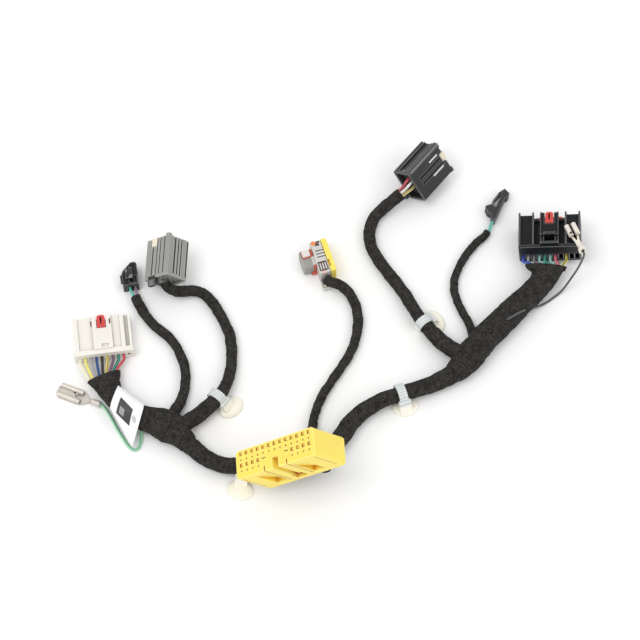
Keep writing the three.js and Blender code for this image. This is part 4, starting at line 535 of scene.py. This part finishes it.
def moulded_plastic(name, colour, roughness, painted_groove_shade, depth, edge, glow, shine):
    """Injection-moulded plastic: fine spark texture, painted shade in grooves, and a painted highlight along
    edges.
    """
    s = Shader(name, colour, roughness)
    base = linear(colour)
    tint = s.mix(s.noise(90, 3), shade(base, 0.93), shade(base, 1.05))
    # painted shade: the colour darkens where the surface is hemmed in, in grooves and recesses
    groove_shade_mask = s.span(s.occlusion(depth), 1.0, 0.0, 0.35, 0.95)
    tint = s.mix(groove_shade_mask, tint, linear(painted_groove_shade) if isinstance(painted_groove_shade, tuple) else shade(base, painted_groove_shade))
    if edge:
        # painted highlight: the colour lightens along convex edges, outside the painted shade
        edge_highlight_mask = s.span(s.occlusion(EDGE_HIGHLIGHT_REACH, True), 1.0, 0.0, 0.35, 0.85)
        tint = s.mix(s.math("MULTIPLY", edge_highlight_mask, s.span(groove_shade_mask, 1.0, 0.0)), tint, linear(edge))
    s.colour(tint)
    if glow:
        s.glow(glow, (1.0, 0.75, 0.35), 0.0016)
    s.rough(s.span(s.noise(420), roughness - 0.06, roughness + 0.10))
    s.set("Specular IOR Level", shine)
    s.bump(s.noise(3200), 0.00003, 0.5)
    s.bump(s.noise(260), 0.00006, 0.35)
    return s


def cloth_tape():
    """Woven cloth tape: fine weave, lint, and painted shade at the step where one turn ends on the next and
    inside the open ends.
    """
    s = Shader("cloth_tape", (44, 42, 40), 0.86)
    waves = 2 * math.pi / (WEAVE_PITCH * MM)
    warp, weft = (s.math("SINE", s.math("MULTIPLY", run, waves)) for run in s.tape_map())
    thread = s.math("MULTIPLY_ADD", s.math("MULTIPLY", warp, weft), 0.5, 0.5)
    lint = s.span(s.noise(1500, 2, 0.6), 0.0, 1.0, 0.52, 0.72)
    mottle = s.noise(420, 3, 0.6)
    cloth = s.mix(s.span(mottle, 0.0, 1.0, 0.32, 0.68), linear((25, 24, 23)), linear((58, 56, 53)))
    cloth = s.mix(s.math("MULTIPLY", lint, 0.6), cloth, linear((98, 95, 90)))
    cloth = s.mix(s.math("MULTIPLY", thread, 0.35), cloth, linear((20, 19, 18)))
    # painted shade: dark at the step where each turn ends and inside the tape's open ends
    tape_shade = s.node("Attribute", attribute_name="tape_shade").outputs["Fac"]
    s.colour(s.mix(s.math("MULTIPLY", tape_shade, 0.6), cloth, linear((10, 10, 10))))
    s.set("Specular IOR Level", 0.2)
    s.bump(thread, 0.00008, 0.5)
    s.bump(mottle, 0.00012, 0.5)
    return s


def wire_skin(name, colour, stripe):
    """Extruded insulation: satin, with a printed stripe along it where the wire has one."""
    s = Shader(name, colour, 0.38)
    base = linear(colour)
    tint = s.mix(s.noise(700), shade(base, 0.9), shade(base, 1.06))
    if stripe:
        round_ = s.tape_map()[1]
        share = s.math("FRACT", s.math("MULTIPLY", round_, 1 / (2 * math.pi * WIRE_RADIUS * MM)))
        band = s.math("LESS_THAN", s.math("ABSOLUTE", s.math("SUBTRACT", share, 0.25)), 0.06)
        tint = s.mix(band, tint, linear(stripe))
    s.colour(tint)
    s.bump(s.noise(900), 0.00003, 0.4)
    return s


def bare_insulation():
    """The black insulation of the wires behind the yellow connector."""
    s = Shader("black_insulation", (34, 33, 33), 0.4)
    s.colour(s.mix(s.noise(500), linear((24, 24, 24)), linear((48, 47, 46))))
    s.bump(s.noise(900), 0.00003, 0.4)
    return s


def tinned_metal(name, low, high, metallic):
    """Tinned sheet metal, with painted shade in the folds."""
    s = Shader(name, high, 0.4, metallic)
    sheet = s.mix(s.noise(600, 3), linear(low), linear(high))
    # painted shade: darker where the sheet folds round on itself
    s.colour(s.mix(s.span(s.occlusion(FOLD_SHADE_REACH), 1.0, 0.0, 0.3, 0.95), sheet, linear((96, 88, 78))))
    s.rough(s.span(s.noise(900), 0.36, 0.56))
    s.bump(s.noise(1800), 0.00003, 0.5)
    return s


def nylon(name, band, along):
    """Natural nylon: a milky cream foot, and a cooler band with the tie's teeth across it in painted highlight
    and painted shade.
    """
    s = Shader(name, (242, 238, 222), 0.38)
    here = s.place()
    cream = linear((248, 244, 230))
    milky = s.mix(s.noise(120), shade(cream, 0.94), shade(cream, 1.02))
    side = Vector((-along[1], along[0], 0)).normalized()
    over = s.vector("SUBTRACT", here, band).outputs["Vector"]
    across = s.vector("DOT_PRODUCT", over, side).outputs["Value"]
    # the teeth are painted: lighter stripes for their lit ridges, painted shade between them
    wave = s.math("SINE", s.math("MULTIPLY", across, 2 * math.pi / (TOOTH_PITCH * MM)))
    painted_tooth_light = s.math("MULTIPLY_ADD", wave, 0.5, 0.5)
    cool = s.mix(s.math("POWER", painted_tooth_light, 2), linear((196, 201, 201)), linear((226, 230, 229)))
    height = s.node("SeparateXYZ", {"Vector": here}).outputs["Z"]
    s.colour(s.mix(s.span(height, 0.0, 1.0, FOOT_TOP * MM, BAND_FOOT * MM), milky, cool))
    s.glow(0.25, (0.9, 0.8, 0.6), 0.002)
    s.bump(s.noise(700), 0.00004, 0.4)
    return s


def label_film():
    """White film with a printed field: two plain tones, and a grey oval beside them, on its front alone."""
    s = Shader("label_film", (240, 240, 240), 0.45)
    corner, right, down = (Vector(p) for p in PRINT_FIELD)
    right, down = right - corner, down - corner
    front = right.cross(down).normalized()
    if front.z < 0:
        front = -front
    here = s.vector("SUBTRACT", s.place(), place(corner)).outputs["Vector"]
    shares = []
    for edge, other in ((right, down), (down, right)):
        lean = edge - other * (edge.dot(other) / other.length_squared)
        lean /= lean.dot(edge) * MM
        shares.append(s.vector("DOT_PRODUCT", here, lean).outputs["Value"])
    facing = s.vector("DOT_PRODUCT", s.node("NewGeometry").outputs["Normal"], front).outputs["Value"]
    shows = s.math("GREATER_THAN", facing, 0.1)

    def field(low_u, high_u, low_v, high_v):
        inside = shows
        for share, low, high in ((shares[0], low_u, high_u), (shares[1], low_v, high_v)):
            inside = s.math("MULTIPLY", inside, s.math("GREATER_THAN", share, low))
            inside = s.math("MULTIPLY", inside, s.math("LESS_THAN", share, high))
        return inside

    film = s.mix(s.noise(200), linear((234, 234, 234)), linear((248, 248, 248)))
    ink = s.mix(s.noise(1300), linear((46, 46, 48)), linear((66, 66, 68)))
    film = s.mix(field(0.0, 1.0, 0.0, 1.0), film, ink)
    film = s.mix(field(*PRINT_BLOCK), film, linear((150, 150, 152)))
    middles, halves = PRINT_OVAL[:2], PRINT_OVAL[2:]
    squares = []
    for share, middle, half in zip(shares, middles, halves):
        off = s.math("DIVIDE", s.math("SUBTRACT", share, middle), half)
        squares.append(s.math("MULTIPLY", off, off))
    oval = s.math("MULTIPLY", shows, s.math("LESS_THAN", s.math("ADD", *squares), 1.0))
    s.colour(s.mix(oval, film, linear((196, 198, 202))))
    s.bump(s.noise(150), 0.00010, 0.5)
    return s


def make_finishes():
    finishes = {name: moulded_plastic(name + "_plastic", *looks) for name, looks in PLASTICS.items()}
    finishes.update({name: tinned_metal(name + "_metal", *looks) for name, looks in METALS.items()})
    return finishes


# Routes and tubes
def centripetal(points, step):
    """Positions, tangents and [span, share] along a centripetal spline through the points."""
    points = [np.array(p[:3], dtype=float) for p in points]
    padded = [2 * points[0] - points[1]] + points + [2 * points[-1] - points[-2]]
    places, tangents, marks = [], [], []
    for span in range(len(points) - 1):
        x0, x1, x2, x3 = padded[span:span + 4]
        d0, d1, d2 = (max(np.linalg.norm(b - a), 1e-4) ** 0.5 for a, b in ((x0, x1), (x1, x2), (x2, x3)))
        t1 = ((x1 - x0) / d0 - (x2 - x0) / (d0 + d1) + (x2 - x1) / d1) * d1
        t2 = ((x2 - x1) / d1 - (x3 - x1) / (d1 + d2) + (x3 - x2) / d2) * d1
        c2 = -3 * x1 + 3 * x2 - 2 * t1 - t2
        c3 = 2 * x1 - 2 * x2 + t1 + t2
        count = max(2, math.ceil(np.linalg.norm(x2 - x1) / step))
        shares = np.arange(count + (span == len(points) - 2)) / count
        for share in shares:
            places.append(x1 + t1 * share + c2 * share ** 2 + c3 * share ** 3)
            tangent = t1 + 2 * c2 * share + 3 * c3 * share ** 2
            tangents.append(tangent / np.linalg.norm(tangent))
            marks.append((span, share))
    return np.array(places), np.array(tangents), marks


def link(name, mesh, material, node=None, body=ROOT, smooth=True):
    obj = bpy.data.objects.new(name, mesh)
    bpy.context.scene.collection.objects.link(obj)
    mesh.materials.append(material)
    if smooth:
        mesh.polygons.foreach_set("use_smooth", [True] * len(mesh.polygons))
    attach(obj, body)
    if node:
        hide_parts(node)
    return obj


def sunk_mouth(ring, inward, depth):
    """The lip of a tape's open end and the bottom of its mouth."""
    centre, across, rise, width, height, length, _ = ring
    lip = (centre, across, rise, width - LIP_INSET, height - LIP_INSET, length, True)
    bottom = (centre + inward * depth, across, rise, width - MOUTH_INSET, height - MOUTH_INSET, length, True)
    return [lip, bottom]


def rings_along(stations, step, mouths):
    """Each ring of a tube: middle, ways across and up, width, height, distance, and whether it is inside."""
    places, tangents, marks = centripetal(stations, step)
    side = np.cross(tangents, np.array((0.0, 0.0, 1.0)))
    side /= np.linalg.norm(side, axis=1)[:, None]
    over = np.cross(side, tangents)
    distance = np.concatenate([[0], np.cumsum(np.linalg.norm(np.diff(places, axis=0), axis=1))])
    rings = []
    for i, (span, share) in enumerate(marks):
        width, height = (stations[span][k] * (1 - share) + stations[span + 1][k] * share for k in (3, 4))
        rings.append((places[i], side[i], over[i], width, height, distance[i], False))
    start = sunk_mouth(rings[0], tangents[0], mouths[0])[::-1] if mouths[0] else []
    end = sunk_mouth(rings[-1], -tangents[-1], mouths[1]) if mouths[1] else []
    return start + rings + end, places, distance[-1]


def tube(name, stations, material, node, sides, step, relief=None, mouths=(0.0, 0.0)):
    """A tube along a route, with relief(distance, turn, point) in mm and a sunk mouth where an end shows."""
    rings, places, length = rings_along(stations, step, mouths)
    vertices, faces, uvs, tape_shades = [], [], [], []
    for centre, across, rise, width, height, distance, inside in rings:
        for k in range(sides):
            turn = 2 * math.pi * (k + 0.5) / sides
            out = across * math.cos(turn) + rise * math.sin(turn)
            point = centre + across * (width / 2 * math.cos(turn)) + rise * (height / 2 * math.sin(turn))
            # inside a sunk mouth the painted shade is fixed; elsewhere relief gives the painted shade at each
            # turn's step
            push, tape_shade = 0.0, MOUTH_SHADE * inside
            if relief and not inside:
                push, tape_shade = relief(distance, turn, point)
            vertices.append(place(point + out * push))
            tape_shades.append(tape_shade)
    for ring in range(len(rings) - 1):
        round_ = math.pi * (rings[ring][3] + rings[ring][4]) / 2 / sides
        u0, u1 = rings[ring][5] * MM, rings[ring + 1][5] * MM
        for k in range(sides):
            a, b = ring * sides + k, ring * sides + (k + 1) % sides
            faces.append((a, a + sides, b + sides, b))
            v0, v1 = k * round_ * MM, (k + 1) * round_ * MM
            uvs += [(u0, v0), (u1, v0), (u1, v1), (u0, v1)]
    top = (len(rings) - 1) * sides
    faces.append(tuple(range(sides)))
    faces.append(tuple(reversed(range(top, top + sides))))
    uvs += [(0.0, 0.0)] * (2 * sides)
    mesh = bpy.data.meshes.new(name)
    mesh.from_pydata(vertices, [], faces)
    layer = mesh.uv_layers.new(name="Tape")
    layer.data.foreach_set("uv", np.array(uvs).ravel())
    mesh.attributes.new("tape_shade", "FLOAT", "POINT").data.foreach_set("value", tape_shades)
    mesh.update()
    return link(name, mesh, material, node), places, length


def wound(pitch, step_height=0.20, lumps=0.20, turn_way=1, cross=False, seed=0.0):
    """Relief of tape wound in turns: a step where each turn ends, falling away to the next, and painted shade
    at that step.
    """
    def relief(length, turn, point):
        wander = 0.35 * noise.noise(Vector((length * 0.05, seed, 0.0)))
        phase = length / pitch + turn_way * turn / (2 * math.pi) + wander
        share = phase - math.floor(phase)
        height = step_height * (1 - share) ** 1.3
        tape_shade = max(0.0, 1 - share / 0.10)
        if cross:
            other = length / (pitch * 1.3) - turn_way * turn / (2 * math.pi) + 0.4
            share = other - math.floor(other)
            height = max(height, step_height * (1 - share) ** 1.3)
            tape_shade = max(tape_shade, 0.8 * max(0.0, 1 - share / 0.08))
        spot = Vector((float(p) for p in point))
        height += lumps * noise.noise(spot * 0.16) + lumps * 0.8 * noise.noise(spot * 0.55)
        height += 0.10 * noise.noise(spot * 1.6)
        return height - step_height * 0.45, tape_shade
    return relief


# Frames of the connectors, as in the part
def frame_of(spot):
    mating = Vector(spot["mating"]).normalized()
    across = mating.cross(Vector(spot["top"])).normalized()
    up = across.cross(mating)
    matrix = Matrix((across, mating, up)).transposed().to_4x4()
    matrix.translation = Vector(spot["at"])
    return matrix


def world_point(spot, x, y, z):
    return tuple(frame_of(spot) @ Vector((x, y, z)))


def way_x(way, count, pitch):
    return (way - (count - 1) / 2) * pitch


# Wires between the connectors and the tape
def mouth_point(station, following, share, rise=0.0):
    """A way to step back along the wires from a point on a tape's mouth."""
    centre = Vector(station[:3])
    along = (Vector(following[:3]) - centre).normalized()
    side = along.cross(Vector((0, 0, 1))).normalized()
    over = side.cross(along)
    point = centre + side * (share * station[3] / 2) + over * rise
    return lambda back: tuple(point - along * back)


def wire(name, points, colours, radius=WIRE_RADIUS, step=TUBE_STEP):
    stations = [(*point[:3], 2 * radius, 2 * radius) for point in points]
    skin = wire_skin(name + "_skin", *colours).material
    return tube(name + "_skin", stations, skin, name, WIRE_SIDES, step)


def lead_wire(name, spot, x, z, reaches, mouth, steps, colours, radius=WIRE_RADIUS):
    """A wire through points at those reaches along its connector, then those steps back from the mouth."""
    points = [world_point(spot, x, reach, z) for reach in reaches] + [mouth(step) for step in steps]
    wire(name, points, colours, radius)


def white_wires():
    for way in range(WHITE_WIRED):
        share = WHITE_SPREAD * (1 - 2 * way / (WHITE_WIRED - 1))
        mouth = mouth_point(LEFT_JOINT[0], LEFT_JOINT[1], share, 0.3)
        lead_wire(f"white_wire_{way + 1}", WHITE_AT, way_x(way, WHITE_WAYS, WIRE_PITCH), WIRE_HEIGHT,
                  (IN_CAVITY, 0, -LEAVE), mouth, (LEAVE * 0.6, -UNDER_TAPE), WHITE_WIRES[way])


def black_wires():
    for number, way in enumerate(BLACK_WIRED):
        share = BLACK_SPREAD * (2 * number / (len(BLACK_WIRED) - 1) - 1)
        mouth = mouth_point(RIGHT_JOINT[-1], RIGHT_JOINT[-2], -share, share * 0.7)
        lead_wire(f"black_wire_{number + 1}", BLACK_AT, way_x(way, BLACK_WAYS, WIRE_PITCH), WIRE_HEIGHT,
                  (IN_CAVITY, 0, -LEAVE), mouth, (LEAVE * 0.6, -UNDER_TAPE), BLACK_WIRES[number])


def dark_wires():
    for number, x in enumerate(DARK_WIRES_ACROSS):
        mouth = mouth_point(DARK_BRANCH[0], DARK_BRANCH[1], DARK_SPREAD * (1 - number), 1.2)
        lead_wire(f"dark_wire_{number + 1}", DARK_AT, x, DARK_WIRE_HEIGHT,
                  (1.6, -0.8), mouth, (2.4, -UNDER_TAPE), DARK_WIRES[number])


def small_wires():
    for number, side in enumerate((-1, 1)):
        mouth = mouth_point(SMALL_BRANCH[0], SMALL_BRANCH[1], -SMALL_SPREAD * side, 0.2)
        x = SMALL_WIRE_MIDDLE + side * SMALL_WIRE_SPREAD
        lead_wire(f"small_wire_{number + 1}", SMALL_AT, x, SMALL_WIRE_HEIGHT,
                  (4.1, 0), mouth, (1.6, -UNDER_TAPE), SMALL_WIRES[number])


def oneway_wire():
    mouth = mouth_point(ONEWAY_BRANCH[0], ONEWAY_BRANCH[1], 0)
    lead_wire("oneway_wire", ONEWAY_AT, 0, 0, (2.6, 0, -2.6), mouth, (1.4, -UNDER_TAPE), ONEWAY_COLOURS,
              ONEWAY_RADIUS)


# Cords
def declare(places, leaves_last):
    """The path of a cord from one joint or connector to the next, through every third point and turned round
    where it leaves from its last end; it is worked out and not kept.
    """
    path = [tuple(place(p)) for p in places[::3]]
    if (len(places) - 1) % 3:
        path.append(tuple(place(places[-1])))
    if leaves_last:
        path.reverse()


def run_on(stations):
    """The same route, led on at both ends into the joints it meets."""
    ends = []
    for end, inner in ((stations[0], stations[1]), (stations[-1], stations[-2])):
        away = (Vector(end[:3]) - Vector(inner[:3])).normalized() * RUN_ON
        ends.append((*(Vector(end[:3]) + away), *end[3:]))
    return [ends[0]] + stations + [ends[1]]


def tapes():
    cloth = cloth_tape().material
    for index, (node, (stations, pitch, diameter, leaves_last)) in enumerate(CORDS.items()):
        trunk = node.endswith("trunk")
        relief = wound(pitch, turn_way=(-1) ** index, seed=index * 7.3)
        route, mouths = (run_on(stations), (0.0, 0.0)) if trunk else (stations, (BRANCH_MOUTH, 0.0))
        obj, places, length = tube(node + "_tape", route, cloth, node, BRANCH_SIDES, TUBE_STEP, relief, mouths)
        declare(places, leaves_last)
    for index, (node, (stations, mouths)) in enumerate(JOINTS.items()):
        relief = wound(9.0, 0.24, 0.30, (-1) ** index, True, 31.0 + index)
        tube(node + "_tape", stations, cloth, node, JOINT_SIDES, TUBE_STEP, relief, mouths)
    relief = wound(8.5, 0.22, 0.25, 1, True, 47.0)
    tube("main_joint_tape", MAIN_JOINT, cloth, "main_joint", MAIN_SIDES, TUBE_STEP, relief)
    tube("main_leg_tape", MAIN_LEG, cloth, None, LEG_SIDES, TUBE_STEP, relief, (LEG_MOUTH, 0.0))


def loose_wires():
    """The two single wires; their crimp terminals are moulded before."""
    for node, points, radius, colours, terminal in (
            ("green_wire", GREEN_WIRE, WIRE_RADIUS, GREEN_COLOURS, "blade_terminal"),
            ("thin_wire", THIN_WIRE, THIN_RADIUS, THIN_COLOURS, "barrel_terminal")):
        obj, places, length = wire(node, points, colours, radius, LOOSE_STEP)
        declare(places, True)


# Moulded pieces: the part's own solids, with broken edges
def moulded(node, shader, bevel, body=ROOT):
    mesh = NODES[node].data.copy()
    mesh.materials.clear()
    work = bmesh.new()
    work.from_mesh(mesh)
    bmesh.ops.remove_doubles(work, verts=work.verts, dist=WELD)
    bmesh.ops.dissolve_limit(work, angle_limit=SAME_PLANE, verts=work.verts, edges=work.edges)
    work.to_mesh(mesh)
    work.free()
    obj = bpy.data.objects.new(node + "_moulding", mesh)
    bpy.context.scene.collection.objects.link(obj)
    edge = obj.modifiers.new("Edges", "BEVEL")
    edge.width = bevel * MM
    edge.segments = 2
    edge.limit_method = "ANGLE"
    edge.angle_limit = SHARP
    edge.use_clamp_overlap = True
    bpy.context.view_layer.update()
    baked = bpy.data.meshes.new_from_object(obj.evaluated_get(bpy.context.evaluated_depsgraph_get()))
    obj.modifiers.clear()
    obj.data = baked
    baked.materials.append(shader.material)
    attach(obj, body)
    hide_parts(node)


def block_or_button(work, solid, taper):
    """A block from its three spans, narrowed to its taper towards the wire end, or an upright button."""
    if len(solid) == 3:
        (x0, x1), (y0, y1), (z0, z1) = solid
        bmesh.ops.create_cube(work, size=1)
        for v in work.verts:
            width = (x1 - x0) * (taper if v.co.y < 0 else 1)
            v.co = Vector(((x0 + x1) / 2 + v.co.x * width, (y0 + y1) / 2 + v.co.y * (y1 - y0),
                           (z0 + z1) / 2 + v.co.z * (z1 - z0)))
    else:
        x, y, radius, z0, z1 = solid
        bmesh.ops.create_cone(work, cap_ends=True, segments=BUTTON_SIDES, radius1=radius, radius2=radius,
                              depth=z1 - z0)
        bmesh.ops.translate(work, verts=work.verts, vec=Vector((x, y, (z0 + z1) / 2)))


def small_part(name, spot, solid, shader):
    """A small block or button in a connector's own frame, with broken edges."""
    work = bmesh.new()
    block_or_button(work, solid, TAPERS.get(name, 1.0))
    sharp = [e for e in work.edges if e.calc_face_angle(0) > SMALL_SHARP]
    bmesh.ops.bevel(work, geom=sharp, offset=SMALL_BEVEL, segments=2, affect="EDGES")
    matrix = frame_of(spot)
    for v in work.verts:
        v.co = place(matrix @ v.co)
    mesh = bpy.data.meshes.new(name)
    work.to_mesh(mesh)
    work.free()
    link(name, mesh, shader.material, smooth=False)


def barrel_spot():
    """The frame of the double-barrel terminal, from its crimp to its tip."""
    crimp, tip = (Vector(world_point(BLACK_AT, x, y, BARREL_HEIGHT)) for x, y in (BARREL_CRIMP, BARREL_TIP))
    return {"at": crimp, "mating": tip - crimp, "top": BLACK_AT["top"]}


def small_parts(finishes):
    groups = ((SQUIB_PARTS, SQUIB_AT), (DARK_PARTS, DARK_AT), (BLADE_PARTS, BLADE_AT),
              (BLACK_PARTS, BLACK_AT), (BARREL_PARTS, barrel_spot()))
    for parts, spot in groups:
        for name, (solid, finish) in parts.items():
            small_part(name, spot, solid, finishes[finish])


def way_shade_sheets(way_shade_golden):
    """Sheets of a darker yellow plastic just inside the yellow housing's ways, as one piece per way: painted
    shade and glow of the open ways.
    """
    for way in range(YELLOW_WAYS):
        in_group = way < YELLOW_GROUPED or way >= YELLOW_WAYS - YELLOW_GROUPED
        for row, z in enumerate(YELLOW_ROWS if in_group else YELLOW_ROWS[:1]):
            x = way_x(way, YELLOW_WAYS, YELLOW_PITCH)
            span = ((x - WAY_SHADE_SHORT, x + WAY_SHADE_LONG), WAY_SHADE_DEPTHS, (z - WAY_SHADE_LONG, z + WAY_SHADE_SHORT))
            small_part(f"yellow_way_shade_{way + 1}_{row + 1}", YELLOW_AT, span, way_shade_golden)


def mouldings(finishes):
    for node, (finish, bevel, body) in MOULDINGS.items():
        moulded(node, finishes[finish], bevel, body)
    for node, (middle, along) in CLIPS.items():
        moulded(node, nylon(node + "_nylon", place(middle), along), CLIP_BEVEL)


def carried_over():
    """CAD nodes that keep their own mesh."""
    for node, shader in (("yellow_wires", bare_insulation()), ("flag_label", label_film())):
        mesh = NODES[node].data
        mesh.materials.clear()
        mesh.materials.append(shader.material)


make_camera()
make_stage()
tapes()
white_wires()
black_wires()
dark_wires()
small_wires()
oneway_wire()
FINISHES = make_finishes()
mouldings(FINISHES)
small_parts(FINISHES)
way_shade_sheets(FINISHES["way_shade_golden"])
loose_wires()
carried_over()
